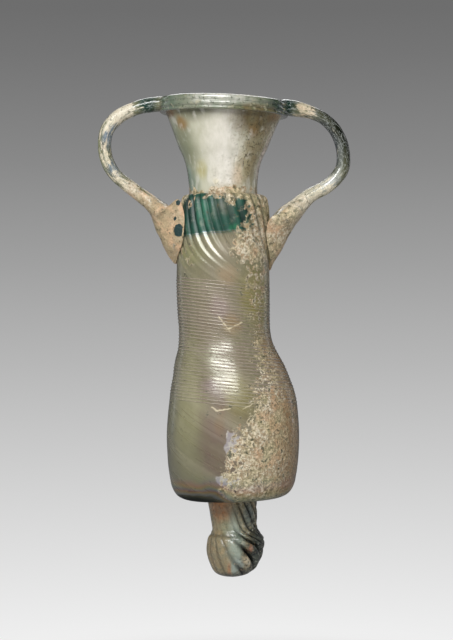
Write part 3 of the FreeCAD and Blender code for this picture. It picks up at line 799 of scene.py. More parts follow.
def build_rim(body, mouth):
    """Rim band: a section with three beads carried round the lip and tilted with it.

    Its width and height are less by 5 and 3 hundredths of one plus noise, and its foot drifts.
    """
    section = drawn_through(np.array(RIM_SECTION), RIM_ROWS)
    out, up = section[:, :1], section[:, 1:]
    angle = all_round(RIM_AROUND)[0]
    spread = np.stack([np.cos(angle), np.sin(angle), 0 * angle], axis=-1) * 20 * MM
    inner = mouth.lip_radius - RIM_OVERLAP
    width = (mouth.rim_radius - inner) * (1 - 0.05 * (1 + grain(spread, 9 * MM, 71)))
    tall = mouth.rim_height * (1 - 0.03 * (1 + grain(spread, 11 * MM, 72)))
    drift = RIM_DRIFT * grain(spread, 8 * MM, 73)
    reach = inner + out * width
    foot = body.foot + body.height + mouth.funnel_height
    x = -body.lean + reach * np.cos(angle)
    z = foot + (up * tall + drift * (1 - up))
    grid = np.stack([x, reach * np.sin(angle), z], axis=-1)
    grid = tipped(grid, (-body.lean, foot), mouth.rim_tilt)
    front = np.degrees(from_front(angle))[None, :] + 0 * z
    blur = 8.0 * clouds(grid, 6 * MM, 77, 3)
    marks = {"stain": spotted(linear("858876"), RIM_SPOTS, front + blur, up + 0.02 * blur)}
    return add_piece("rim_coil", grid, marks, coiled_rim_glass(), "rim_band")


# Handles

# Course of each handle in the plane of the handles, from the pad's tip to the rim, in
# millimetres: x, z, thickness in that plane, width across it.
LEFT_COURSE = (
    (-20.3, 111.5, 1.0, 1.6),
    (-20.8, 114.2, 4.2, 8.0),
    (-21.3, 118.2, 7.6, 16.6),
    (-21.9, 121.8, 9.2, 19.6),
    (-23.1, 125.4, 9.8, 19.4),
    (-25.1, 128.9, 8.6, 16.6),
    (-27.0, 131.2, 6.8, 12.6),
    (-29.3, 133.4, 5.9, 8.4),
    (-34.0, 136.9, 5.4, 6.3),
    (-38.6, 140.4, 5.1, 5.6),
    (-41.8, 143.2, 4.9, 5.3),
    (-44.3, 146.9, 4.95, 5.2),
    (-45.75, 151.4, 5.0, 5.2),
    (-45.85, 155.9, 5.0, 5.2),
    (-45.0, 159.4, 5.15, 5.3),
    (-43.1, 162.1, 5.3, 5.4),
    (-40.2, 164.6, 5.2, 5.5),
    (-36.6, 166.4, 5.2, 5.6),
    (-32.9, 167.75, 5.3, 5.8),
    (-29.0, 168.5, 5.6, 6.4),
    (-25.5, 168.75, 5.6, 7.4),
    (-22.5, 168.7, 4.6, 7.0),
    (-20.6, 168.5, 2.0, 3.4),
)
RIGHT_COURSE = (
    (13.0, 109.2, 0.8, 1.4),
    (13.3, 111.6, 1.9, 4.6),
    (14.1, 115.2, 4.2, 9.4),
    (14.9, 118.0, 5.8, 12.8),
    (15.8, 121.2, 7.2, 15.6),
    (16.8, 124.6, 8.4, 16.6),
    (18.6, 127.3, 7.9, 15.6),
    (21.1, 129.9, 7.2, 12.4),
    (24.2, 132.9, 5.8, 8.4),
    (27.6, 135.9, 4.9, 6.0),
    (33.6, 139.3, 4.6, 5.0),
    (36.8, 142.1, 4.7, 4.9),
    (39.0, 145.5, 4.7, 4.9),
    (39.55, 149.6, 4.55, 4.9),
    (38.7, 154.6, 4.5, 4.8),
    (36.3, 159.6, 4.3, 4.6),
    (32.5, 163.4, 4.0, 4.6),
    (28.4, 165.5, 4.3, 4.9),
    (24.8, 166.5, 4.8, 5.8),
    (20.5, 167.3, 5.4, 7.4),
    (16.8, 167.6, 4.4, 7.0),
    (15.2, 167.6, 2.0, 3.2),
)
HANDLE_ROWS = 260
HANDLE_AROUND = 64
# Rows of the course that are all rod
ROD_ROWS = slice(60, 200)
# The collar that the pads bend round: its radius, how far its middle stands to the left, and how
# far the pads' sides stand proud of it
COLLAR_REACH = 16.2 * MM
COLLAR_LEAN = 3.2 * MM
PROUD = 0.7 * MM
# Share of the way over which the pad lets go of the collar, and over which its sides climb
HUG_END = (0.11, 0.26)
CLIMB_START, CLIMB_END = (0.05, 0.17), (0.165, 0.25)
# Share of the way over which the outer side of the rod can be bare of crust
BARE_START, BARE_END = (0.38, 0.46), (0.64, 0.72)
# Looks of each handle. The saddle is how far the pad's sides climb, in millimetres, and bare is how
# much of the crust is gone from the outer side of the rod. Tints are how much is crust, how much of
# the crust is peach and how much white, by the share of the way. Colour spots: sRGB hex, place and
# reach in degrees from the outer side and share of the way, strength; the grey-blue spots inside
# the left rod are painted reflection and the pale ones inside the right rod painted highlight.
# Chips
# show clean glass in front: place and reach in x and z, in millimetres.
LEFT_LOOKS = {
    "saddle": 9.0,
    "bare": 0.7,
    "tints": {
        "crust": (
            (0.00, 1.00),
            (0.34, 0.95),
            (0.42, 0.75),
            (0.50, 0.45),
            (0.57, 0.65),
            (0.64, 0.35),
            (0.70, 0.60),
            (0.75, 0.90),
            (0.81, 0.80),
            (0.845, 0.10),
            (0.94, 0.00),
            (1.00, 0.10),
        ),
        "peach": ((0.0, 1.0), (0.22, 0.95), (0.32, 0.6), (0.40, 0.1), (1.0, 0.0)),
        "white": ((0.0, 0.0), (0.30, 0.1), (0.45, 0.7), (0.60, 0.8), (0.68, 1.0), (1.0, 1.0)),
    },
    "stains": (
        ("10352b", (60.0, 0.885), (260.0, 0.055), 1.0),
        # Painted reflection: the two grey-blue spots on the inner side
        ("727d88", (120.0, 0.66), (90.0, 0.10), 0.95),
        ("727d88", (100.0, 0.50), (80.0, 0.06), 0.8),
        ("777a55", (0.0, 0.58), (90.0, 0.24), 0.9),
        ("8a7c50", (60.0, 0.33), (160.0, 0.10), 0.8),
    ),
    "chips": (
        ((-19.4, 123.2), (2.6, 3.6)),
        ((-19.3, 133.0), (1.3, 1.5)),
        ((-20.2, 127.3), (1.2, 1.0)),
    ),
}
RIGHT_LOOKS = {
    "saddle": 4.0,
    "bare": 0.0,
    "tints": {
        "crust": (
            (0.00, 1.0),
            (0.30, 0.9),
            (0.40, 0.7),
            (0.48, 0.4),
            (0.55, 0.1),
            (0.81, 0.0),
            (0.86, 0.9),
            (0.90, 0.7),
            (0.93, 0.1),
        ),
        "peach": ((0.0, 0.25), (0.25, 0.1), (0.40, 0.0), (0.82, 0.0), (0.88, 0.5), (1.0, 0.0)),
        "white": (
            (0.00, 0.0),
            (0.24, 0.1),
            (0.34, 0.8),
            (0.50, 1.0),
            (0.80, 1.0),
            (0.90, 0.6),
            (1.00, 0.6),
        ),
    },
    "stains": (
        ("323941", (160.0, 0.68), (100.0, 0.24), 1.0),
        ("0b110a", (0.0, 0.70), (200.0, 0.25), 1.0),
        # Painted highlight inside the lower rod
        ("cdcfca", (110.0, 0.46), (80.0, 0.10), 0.8),
        ("7f7e52", (0.0, 0.44), (90.0, 0.10), 0.8),
        # Painted highlight inside the rod
        ("a9adab", (110.0, 0.60), (30.0, 0.12), 0.35),
        ("0c2a22", (60.0, 0.96), (260.0, 0.07), 1.0),
    ),
    "chips": (),
}


def build_handle(name, course, rod, node, colours, looks):
    """A bit of glass drawn along its course: an oval section, square to the course, with lumps.

    The section's point at angle v is the middle, plus half the thickness times cos v outwards in
    the handle's plane, plus half the width times sin v across it. At the pad a point is pulled, by
    the square of sin v, to the collar's skin: the root of the collar's radius squared less y2.
    There the sides also climb by the saddle's height times the square of the share across.
    """
    line = drawn_through(np.array(course), HANDLE_ROWS)
    run = np.gradient(line[:, :2], axis=0)
    run /= np.linalg.norm(run, axis=1)[:, None]
    side = 1 if line[:, 0].mean() > 0 else -1
    level = 0 * run[:, 0]
    along = np.stack([run[:, 0], level, run[:, 1]], axis=-1)
    outward = np.stack([side * run[:, 1], level, -side * run[:, 0]], axis=-1)
    across = np.cross(along, outward)
    middle = np.stack([line[:, 0], level, line[:, 1]], axis=-1)
    angle = all_round(HANDLE_AROUND)[0]
    # A power under 1 makes the oval a little squarer.
    bend = np.sign(np.cos(angle)) * np.abs(np.cos(angle)) ** 0.92
    scale = rod / (np.min(line[ROD_ROWS, 2]) * MM)
    thick = line[:, None, 2] / 2 * scale
    wide = line[:, None, 3] / 2 * scale
    grid = (
        middle[:, None, :]
        + outward[:, None, :] * (thick * bend)[..., None]
        + across[:, None, :] * (wide * np.sin(angle))[..., None]
    ) * MM
    way = np.linspace(0, 1, len(line))[:, None]
    hug = eased(way, 0.0, 0.02) * (1 - eased(way, *HUG_END))
    apart = np.clip(np.abs(grid[..., 1]), 0, 0.95 * COLLAR_REACH)
    skin = side * (np.sqrt(COLLAR_REACH**2 - apart**2) + PROUD) - COLLAR_LEAN
    grid[..., 0] += hug * np.sin(angle) ** 2 * (skin - grid[..., 0])
    climb = looks["saddle"] * MM * (apart / (0.6 * COLLAR_REACH)) ** 2
    grid[..., 2] += climb * eased(way, *CLIMB_START) * (1 - eased(way, *CLIMB_END))
    lumps = 0.990 - 0.055 * (1 + clouds(grid, 6 * MM, 81 + side, 3))
    grid = middle[:, None, :] * MM + (grid - middle[:, None, :] * MM) * lumps[..., None]
    grid[0] = grid[0].mean(axis=0)
    grid[-1] = grid[-1].mean(axis=0)

    turn = np.degrees(np.abs(from_front(angle - math.pi / 2))) + 0 * way
    blur = clouds(grid, 6 * MM, 85 + side, 3)
    marks = {
        tint: np.interp(way[:, 0], *np.array(rows).T)[:, None]
        for tint, rows in looks["tints"].items()
    }
    bare = (1 - eased(turn, 20.0, 65.0)) * eased(way, *BARE_START) * (1 - eased(way, *BARE_END))
    marks["crust"] = marks["crust"] * (1 - 0.35 * eased(turn, 70.0, 150.0))
    marks["crust"] = marks["crust"] * (1 - looks["bare"] * bare)
    spread = (turn + 20.0 * blur, way + 0.01 * blur)
    marks["stain"] = spotted(tuple(colours.handle), looks["stains"], *spread)
    chip = 0 * turn
    for place, reach in looks["chips"]:
        chip = np.maximum(chip, spot(grid[..., 0] / MM, grid[..., 2] / MM, place, reach))
    marks["chip"] = chip * (grid[..., 1] < 0)
    chords = np.linalg.norm(np.diff(line[:, :2], axis=0), axis=1)
    gone = np.concatenate(([0.0], np.cumsum(chords)))[:, None] * MM
    unrolled = (rod * np.cos(angle) + 0 * way, rod * np.sin(angle) + 0 * way, gone + 0 * angle)
    marks["drawn"] = np.stack(unrolled, axis=-1)
    material = trailed_handle_glass(colours, name)
    return add_piece(name, grid, marks, material, node)


# Toe

# Outline of the toe from its tip: height share, radius share, x of the middle as a share of the
# radius, share of the rib depth.
TOE_OUTLINE = (
    (0.000, 0.000, 0.03, 0.0),
    (0.000, 0.250, 0.03, 0.0),
    (0.012, 0.440, 0.02, 0.1),
    (0.040, 0.600, 0.02, 0.3),
    (0.078, 0.720, 0.04, 0.6),
    (0.142, 0.815, 0.05, 0.8),
    (0.207, 0.895, 0.06, 0.9),
    (0.338, 0.990, 0.08, 1.0),
    (0.440, 1.000, 0.11, 1.0),
    (0.500, 0.965, 0.11, 0.9),
    (0.555, 0.880, 0.10, 0.7),
    (0.600, 0.800, 0.09, 0.6),
    (0.660, 0.785, 0.06, 0.7),
    (0.740, 0.800, 0.04, 0.9),
    (0.860, 0.830, 0.02, 0.9),
    (0.985, 0.850, -0.01, 0.8),
    (1.000, 0.850, -0.01, 0.8),
    (1.000, 0.400, 0.00, 0.0),
    (1.000, 0.000, 0.00, 0.0),
)
# How far the toe's ribs have turned on the right: height share, turn in radians.
TOE_SWIRL = (
    (0.00, 1.40),
    (0.30, 0.95),
    (0.42, 0.72),
    (0.62, -0.02),
    (0.80, -0.28),
    (1.00, -0.62),
)
# Spots of colour, as on the body; the height share is the toe's own. The three near-black spots on
# the right are painted shade.
TOE_SPOTS = (
    ("ad7a4e", (-36.0, 0.92), (46.0, 0.30), 0.95),
    ("7c7f66", (-24.0, 0.66), (26.0, 0.14), 0.7),
    ("86765a", (-60.0, 0.35), (36.0, 0.40), 0.7),
    ("8e9a8e", (2.0, 0.45), (26.0, 0.60), 0.85),
    ("a56f48", (-12.0, 0.10), (9.0, 0.16), 0.7),
    ("9aa59e", (6.0, 0.16), (16.0, 0.20), 0.7),
    ("5f6a66", (44.0, 0.80), (30.0, 0.24), 0.9),
    # Painted shade on the right side
    ("1a2421", (62.0, 0.28), (56.0, 0.48), 1.0),
    ("060d0b", (64.0, 0.50), (52.0, 0.22), 1.0),
    ("0f1715", (105.0, 0.50), (50.0, 1.20), 1.0),
    ("935a42", (33.0, 0.39), (9.0, 0.09), 0.9),
    ("d3c2a2", (30.0, 0.22), (15.0, 0.12), 0.9),
    ("323b38", (0.0, 0.00), (200.0, 0.09), 0.8),
    ("566054", (6.0, 0.56), (30.0, 0.12), 0.8),
)
TOE_ROWS = 150
TOE_AROUND = 384
# Direction in which the ribs slant most, from the front towards the right
SWIRL_SIDE = math.radians(75.0)
# The crease between stem and knob on the left: height share, its reach, depth
CREASE_PLACE, CREASE_REACH, CREASE_DEPTH = 0.545, 0.022, 0.35 * MM
# Depth of the pits in the knob's right side
PIT_DEPTH = 0.16 * MM
# The tip rises towards the right.
TIP_SLOPE = math.tan(math.radians(4.0))
# Least height of a point of the toe, so that its tip is just inside the solid
TIP_GAP = 0.01 * MM


def build_toe(toe):
    """Solid toe: its outline turned, less the valleys of ribs that are deepest on the right.

    A rib's number is the angle less the swirl at its height times (1 + cos a) / 2, where a is the
    angle from the side on which the ribs slant most. A valley is as deep as a power of the parabola
    4t(1 - t) leaves free, t being the share of the way from valley to valley.
    """
    sizes = (toe.height, toe.radius, toe.radius, 1)
    rows = drawn_through(np.array(TOE_OUTLINE) * sizes, TOE_ROWS)
    angle = all_round(TOE_AROUND)
    share = (rows[:, 0] / toe.height)[:, None]
    front = from_front(angle)
    swirl = np.interp(share[:, 0], *np.array(TOE_SWIRL).T)[:, None]
    straight = angle - swirl * (1 + np.cos(front - SWIRL_SIDE)) / 2
    uneven = straight - 0.36 * np.sin(angle + 0.26) + 0.03 * np.sin(5 * straight)
    way = (uneven * toe.ribs / (2 * math.pi)) % 1.0
    crest = (4 * way * (1 - way)) ** 0.62
    degrees = np.degrees(front) + 0 * share
    right = eased(degrees, -12.0, 34.0) * (1 - eased(degrees, 140.0, 175.0))
    left = eased(-degrees, -10.0, 20.0) * (1 - eased(-degrees, 120.0, 170.0))
    knob = 1 - eased(share, 0.50, 0.60)
    depth = toe.rib_depth * rows[:, 3:4] * (0.07 + 0.20 * knob + 1.9 * right)
    depth = depth * (1 + 0.5 * np.sin(3 * straight + 1.0) * right)
    crease = np.exp(-(((share - CREASE_PLACE) / CREASE_REACH) ** 2)) * left
    reach = rows[:, 1:2] - depth * (1 - crest) - CREASE_DEPTH * crease
    x = rows[:, 2:3] + reach * np.cos(angle)
    y = reach * np.sin(angle)
    z = np.clip(rows[:, 0:1], TIP_GAP, None) + BASE_TILT * x * eased(share, 0.7, 1.0)
    z = z + (1 - eased(share, 0.0, 0.25)) * TIP_SLOPE * np.clip(x, 0, None)
    grid = np.stack([x, y, z], axis=-1)
    pitted = PIT_DEPTH * (clouds(grid, 1.8 * MM, 91, 3) - 1) * right
    pitted = pitted * eased(rows[:, 1:2], 0, toe.radius / 3)
    grid[..., 0] += pitted * np.cos(angle)
    grid[..., 1] += pitted * np.sin(angle)
    blur = clouds(grid, 4 * MM, 93, 3)
    spread = (degrees + 9.0 * blur, share + 0.03 * blur)
    # Share of painted shade in the valleys and the crease, most on the right
    furrow = eased(1 - crest, 0.12, 0.62) * (0.18 + 0.22 * knob + 0.60 * right)
    marks = {
        "valley": np.maximum(furrow, 0.45 * crease),
        "right": right,
        "stain": spotted(linear("8a7d60"), TOE_SPOTS, *spread),
    }
    return add_piece("ribbed_toe", grid, marks, tooled_toe_glass(), "toe_knob")


# Materials

# Sockets of a mix node that mixes colours
MIX_FACTOR, MIX_A, MIX_B, MIX_RESULT = 0, 6, 7, 2
# Straight strokes that bent together make the network of cracks: ends in x, y and z, in millimetres
CRACKS = (
    ((-4.0, -21.8, 68.4), (-1.4, -22.6, 65.8)),
    ((-7.6, -21.6, 61.2), (-5.3, -22.5, 60.1)),
    ((-5.3, -22.5, 60.1), (-0.4, -23.2, 61.1)),
    ((2.8, -23.2, 60.1), (8.9, -21.5, 63.9)),
    ((8.9, -21.5, 63.9), (7.9, -21.2, 67.2)),
    ((7.9, -21.2, 67.2), (6.8, -20.6, 70.0)),
    ((-5.0, -16.4, 92.6), (1.1, -15.6, 84.4)),
    ((-2.5, -16.6, 88.0), (3.0, -15.2, 90.6)),
)
CRACK_WIDTH = 0.42 * MM
CRACK_BEND = 1.2 * MM


def opaque(colour):
    """A colour with full alpha, as a colour socket wants it."""
    return (*colour, 1.0)


def add_node(tree, kind, inputs, output=0, **settings):
    """Adds a node with its settings and links, and gives one of its outputs, if it has any.

    An input is a value, an output of another node, or a share with the values at 0 and at 1, which
    becomes a map range node.
    """
    made = tree.nodes.new(kind)
    for name, value in settings.items():
        setattr(made, name, value)
    for socket, value in inputs.items():
        if isinstance(value, tuple) and isinstance(value[0], bpy.types.NodeSocket):
            share, low, high = value
            ends = {"Value": share, "To Min": low, "To Max": high}
            value = add_node(tree, "ShaderNodeMapRange", ends)
        if isinstance(value, bpy.types.NodeSocket):
            tree.links.new(value, made.inputs[socket])
        else:
            made.inputs[socket].default_value = value
    return made.outputs[output] if made.outputs else None


def new_material(name, **marks):
    """An empty material, its tree, and the outputs of the marks that the mesh carries.

    Marks are listed under the output that gives them: Fac for a share, Color for a colour and
    Vector for a place.
    """
    material = bpy.data.materials.new(name)
    material.use_nodes = True
    tree = material.node_tree
    tree.nodes.clear()
    found = {
        mark: add_node(tree, "ShaderNodeAttribute", {}, output, attribute_name=mark)
        for output, names in marks.items()
        for mark in names
    }
    return material, tree, found


def layered(tree, colour, layers):
    """Colour with layers over it in turn: each is a mask, its strength and its colour.

    Each layer blends what is under it towards its own colour by the mask times the strength.
    """
    for mask, strength, over in layers:
        over = opaque(linear(over)) if isinstance(over, str) else over
        sockets = {MIX_FACTOR: (mask, 0.0, strength), MIX_A: colour, MIX_B: over}
        colour = add_node(tree, "ShaderNodeMix", sockets, MIX_RESULT, data_type="RGBA")
    return colour


def speckle(tree, place, size, low, high, detail=3.0, distortion=0.0, coarse=0.5):
    """Mask of noise in grains of a size in metres, 0 below low, 1 above high and eased between."""
    sockets = {"Vector": place, "Scale": 1 / size, "Detail": detail, "Roughness": coarse}
    noise = add_node(tree, "ShaderNodeTexNoise", {**sockets, "Distortion": distortion}, "Fac")
    sockets = {"Value": noise, "From Min": low, "From Max": high}
    return add_node(tree, "ShaderNodeMapRange", sockets, interpolation_type="SMOOTHSTEP")


def ragged(tree, mark, place, size, spread=0.4, soft=0.08, detail=5.0, coarse=0.5):
    """Mask of a mark from 0 to 1 whose edge is broken up by noise in grains of a size in metres.

    It is 1 where the mark plus the noise, stretched to run from -spread to spread, is over a half.
    """
    sockets = {"Vector": place, "Scale": 1 / size, "Detail": detail, "Roughness": coarse}
    noise = add_node(tree, "ShaderNodeTexNoise", sockets, "Fac")
    sockets = {"Value": noise, "From Min": 0.3, "From Max": 0.7}
    sockets.update({"To Min": -spread, "To Max": spread})
    wander = add_node(tree, "ShaderNodeMapRange", sockets)
    shifted = add_node(tree, "ShaderNodeMath", {0: wander, 1: mark}, operation="ADD")
    sockets = {"Value": shifted, "From Min": 0.5 - soft, "From Max": 0.5 + soft}
    return add_node(tree, "ShaderNodeMapRange", sockets, interpolation_type="SMOOTHSTEP")


def stroke(tree, place, start, end, width):
    """Mask of a thin straight stroke between two points in millimetres.

    The nearest point of the stroke is found: the share of the way along it is the dot product of
    the place's way from the start with the whole stroke over the stroke's length squared, held
    between 0 and 1. The mask is 1 near that point and 0 nine tenths of the width away.
    """
    start, end = np.array(start) * MM, np.array(end) * MM
    whole = end - start
    vector = "ShaderNodeVectorMath"
    way = add_node(tree, vector, {0: place, 1: tuple(start)}, operation="SUBTRACT")
    dot = add_node(tree, vector, {0: way, 1: tuple(whole)}, "Value", operation="DOT_PRODUCT")
    share = add_node(tree, "ShaderNodeMapRange", {"Value": dot, "From Max": float(whole @ whole)})
    near = add_node(tree, vector, {0: tuple(whole), "Scale": share}, operation="SCALE")
    far = add_node(tree, vector, {0: way, 1: near}, "Value", operation="DISTANCE")
    sockets = {"Value": far, "From Min": width * 0.9, "From Max": width * 0.4}
    return add_node(tree, "ShaderNodeMapRange", sockets)


def cracks(tree, place):
    """Mask of a network of fine cracks: straight strokes, bent by noise with its middle taken off.

    Real cracks are about 0.1 mm wide, finer than a pixel, so they are drawn 0.4 mm wide.
    """
    vector = "ShaderNodeVectorMath"
    sockets = {"Vector": place, "Scale": 1 / (2.0 * MM), "Detail": 3.0}
    bent = add_node(tree, "ShaderNodeTexNoise", sockets, "Color")
    bent = add_node(tree, vector, {0: bent, "Scale": CRACK_BEND}, operation="SCALE")
    bent = add_node(tree, vector, {0: place, 1: bent}, operation="ADD")
    bent = add_node(tree, vector, {0: bent, 1: (-CRACK_BEND / 2,) * 3}, operation="ADD")
    cracked = 0.0
    for start, end in CRACKS:
        sockets = {0: cracked, 1: stroke(tree, bent, start, end, CRACK_WIDTH)}
        cracked = add_node(tree, "ShaderNodeMath", sockets, operation="MAXIMUM")
    return cracked


def crust_colour(tree, place, colours, brown=None):
    """Burial crust: cream and tan flakes, olive grit and dark dirt; browner by a share.

    Real grit is about 0.2 mm, finer than a pixel, so it is drawn in grains of 0.7 mm.
    """
    flakes = speckle(tree, place, 1.2 * MM, 0.43, 0.58, detail=8.0, distortion=0.15, coarse=0.75)
    grit = speckle(tree, place, 0.7 * MM, 0.50, 0.60, detail=6.0, coarse=0.7)
    dirt = speckle(tree, place, 2.0 * MM, 0.55, 0.62, detail=8.0, coarse=0.75)
    patches = speckle(tree, place, 7.0 * MM, 0.40, 0.62, detail=5.0)
    peach = speckle(tree, place, 5.0 * MM, 0.52, 0.66, detail=6.0)
    pale = layered(tree, opaque(colours.cream), [(patches, 1.0, "cfbd9a")])
    deep = layered(tree, opaque(colours.tan), [(patches, 1.0, "8b8463")])
    browner = [] if brown is None else [(brown, 0.55, "9a7852")]
    dark = [(grit, 0.6, "777154"), (dirt, 0.9, "383b29")]
    return layered(tree, deep, [(flakes, 1.0, pale), (peach, 0.55, "bf9874"), *browner, *dark])


def finished(tree, colour, roughness, height, bump, **fixed):
    """The shader at the end of a tree, with bump from a height whose range is in metres."""
    raised = add_node(tree, "ShaderNodeBump", {"Height": height, "Distance": bump, "Strength": 1.0})
    sockets = {"Base Color": colour, "Roughness": roughness, "Normal": raised}
    sockets.update({name.replace("_", " "): value for name, value in fixed.items()})
    shader = add_node(tree, "ShaderNodeBsdfPrincipled", sockets)
    add_node(tree, "ShaderNodeOutputMaterial", {"Surface": shader})


def weathered_body_glass(colours):
    """Soda-lime glass, blown in a ribbed mould and weathered in the ground.

    The film that weathering leaves gives a silky purple and gold sheen, in streaks that follow the
    ribs. Crust is dull and gritty, and the collar under it is deep green and dull too.
    """
    name = "weathered_mould_blown_glass"
    if name in bpy.data.materials:
        return bpy.data.materials[name]
    shares = ("crust", "green", "lilac", "brown", "valley", "grime", "thread")
    material, tree, mark = new_material(
        name, Fac=shares, Color=("stain", "glass"), Vector=("drawn",)
    )
    number = "ShaderNodeMath"
    place = add_node(tree, "ShaderNodeTexCoord", {}, "Object")
    # Streaks run ten times as far along the ribs as across them.
    sockets = {"Vector": mark["drawn"], "Scale": (1.0, 1.0, 0.10)}
    stretched = add_node(tree, "ShaderNodeMapping", sockets)
    mottle = speckle(tree, place, 5.0 * MM, 0.35, 0.65, detail=6.0, coarse=0.6)
    streaks = speckle(tree, stretched, 8.0 * MM, 0.35, 0.70, detail=5.0)
    fine_streaks = speckle(tree, stretched, 1.4 * MM, 0.40, 0.70, detail=6.0)
    flecks = speckle(tree, place, 1.6 * MM, 0.62, 0.70, detail=7.0, coarse=0.7)
    marbled = [(mottle, 0.30, "6d6a48"), (streaks, 0.22, "a39c86")]
    marbled += [(fine_streaks, 0.18, "5a5546"), (flecks, 0.55, "43452f")]
    film = layered(tree, mark["stain"], marbled)

    glass_streaks = speckle(tree, stretched, 2.0 * MM, 0.40, 0.62, detail=6.0, coarse=0.6)
    blotch = speckle(tree, place, 4.0 * MM, 0.46, 0.62, detail=6.0, coarse=0.6)
    dusty = speckle(tree, place, 2.4 * MM, 0.54, 0.68, detail=7.0, coarse=0.65)
    clouded = [(glass_streaks, 0.30, "426c5a"), (blotch, 0.5, "17332f")]
    # The valleys of the ribs are darkened by painted shade.
    clouded += [(dusty, 0.45, "7c8272"), (mark["valley"], 0.5, "0a1f1b")]
    green = layered(tree, mark["glass"], clouded)

    lilac = ragged(tree, mark["lilac"], place, 3.0 * MM, spread=0.4, soft=0.10, detail=7.0)
    dust = speckle(tree, place, 1.8 * MM, 0.42, 0.60, detail=7.0, coarse=0.65)
    bloom = layered(tree, opaque(linear("989298")), [(dust, 1.0, "bdb8b0")])
    edge = {"spread": 0.62, "soft": 0.10, "detail": 8.0, "coarse": 0.62}
    crust = ragged(tree, mark["crust"], place, 2.0 * MM, **edge)
    furrow = add_node(tree, number, {0: mark["valley"], 1: mark["green"]}, operation="MULTIPLY")
    furrow = add_node(tree, number, {0: furrow, 1: crust}, operation="MULTIPLY")
    layers = [
        (mark["green"], 1.0, green),
        (mark["thread"], 0.30, "b0a596"),
        (lilac, 0.7, bloom),
        (mark["brown"], 0.85, "93734c"),
        (crust, 1.0, crust_colour(tree, place, colours, mark["brown"])),
        (furrow, 0.75, "37402c"),
        (cracks(tree, place), 0.7, "d0c4a6"),
        # Painted shade towards the underside
        (mark["grime"], 1.0, "05120d"),
    ]
    colour = layered(tree, film, layers)

    silky = speckle(tree, stretched, 3.0 * MM, 0.35, 0.65, detail=4.0)
    shade_dulling = add_node(tree, number, {0: mark["grime"], 1: 1.6}, operation="MULTIPLY")
    dull = add_node(tree, number, {0: mark["green"], 1: shade_dulling}, operation="MAXIMUM")
    least = add_node(tree, number, {0: dull, 1: 0.42}, operation="MULTIPLY")
    sockets = {0: (crust, (silky, 0.24, 0.38), 0.6), 1: least}
    roughness = add_node(tree, number, sockets, operation="MAXIMUM")
    gritty = speckle(tree, place, 0.8 * MM, 0.3, 0.8, detail=4.0)
    finished(
        tree,
        colour,
        roughness,
        add_node(tree, number, {0: gritty, 1: crust}, operation="MULTIPLY"),
        0.12 * MM,
        IOR=1.52,
        Specular_IOR_Level=(mark["grime"], (dull, 0.7, 0.3), 0.08),
        Coat_Weight=(dull, 0.35, 0.03),
        Coat_Roughness=0.2,
        Thin_Film_Thickness=(dull, 420.0, 0.0),
        Thin_Film_IOR=1.7,
    )
    return material


def blown_funnel_glass(colours):
    """Soda-lime glass, blown free.

    Its fire-polished skin gives a clear gloss and some see-through where it is clean; dust makes it
    brown, pitted and duller on the right.
    """
    material, tree, mark = new_material(
        "free_blown_pale_green_glass", Fac=("dust", "crust"), Color=("stain",)
    )
    number = "ShaderNodeMath"
    place = add_node(tree, "ShaderNodeTexCoord", {}, "Object")
    sockets = {"Vector": place, "Scale": (1.0, 1.0, 0.35)}
    upright = add_node(tree, "ShaderNodeMapping", sockets)
    clouded = speckle(tree, upright, 4.0 * MM, 0.35, 0.70, detail=6.0, coarse=0.6)
    bright = speckle(tree, upright, 2.5 * MM, 0.52, 0.68, detail=5.0)
    brown = speckle(tree, place, 2.2 * MM, 0.42, 0.60, detail=7.0, coarse=0.65)
    brown = add_node(tree, number, {0: brown, 1: mark["dust"]}, operation="MULTIPLY")
    pits = speckle(tree, place, 0.8 * MM, 0.55, 0.63, detail=4.0)
    pits = add_node(tree, number, {0: pits, 1: mark["dust"]}, operation="MULTIPLY")
    crust = ragged(tree, mark["crust"], place, 1.6 * MM, detail=7.0, coarse=0.6)
    layers = [
        (clouded, 0.35, "9d9c7c"),
        (bright, 0.40, "e6e3d8"),
        (brown, 0.55, "7d6a45"),
        (pits, 0.8, "453c26"),
        (crust, 1.0, crust_colour(tree, place, colours)),
    ]
    covered = add_node(tree, number, {0: crust, 1: (mark["dust"], 0.0, 0.8)}, operation="MAXIMUM")
    finished(
        tree,
        layered(tree, mark["stain"], layers),
        (covered, 0.20, 0.40),
        speckle(tree, place, 1.2 * MM, 0.3, 0.8, detail=4.0),
        0.06 * MM,
        Transmission_Weight=(covered, 0.25, 0.0),
        IOR=1.5,
        Coat_Weight=0.3,
        Coat_Roughness=0.12,
    )
    return material


def coiled_rim_glass():
    """Soda-lime glass, laid on as a hot coil: it never touched a mould, so it is wet-looking.

    Small pits and pale clouds break the gloss, and the glass is darker at the right.
    """
    material, tree, mark = new_material("coiled_grey_green_glass", Color=("stain",))
    place = add_node(tree, "ShaderNodeTexCoord", {}, "Object")
    clouded = speckle(tree, place, 3.0 * MM, 0.40, 0.65, detail=6.0, coarse=0.6)
    pale = speckle(tree, place, 2.0 * MM, 0.55, 0.66, detail=6.0, coarse=0.6)
    pits = speckle(tree, place, 0.9 * MM, 0.58, 0.66, detail=4.0)
    layers = [(clouded, 0.5, "5b6b50"), (pale, 0.6, "b3ad90"), (pits, 0.7, "3c3f2c")]
    finished(
        tree,
        layered(tree, mark["stain"], layers),
        (clouded, 0.07, 0.18),
        clouded,
        0.05 * MM,
        Transmission_Weight=0.1,
        IOR=1.52,
        Coat_Weight=1.0,
        Coat_Roughness=0.08,
    )
    return material


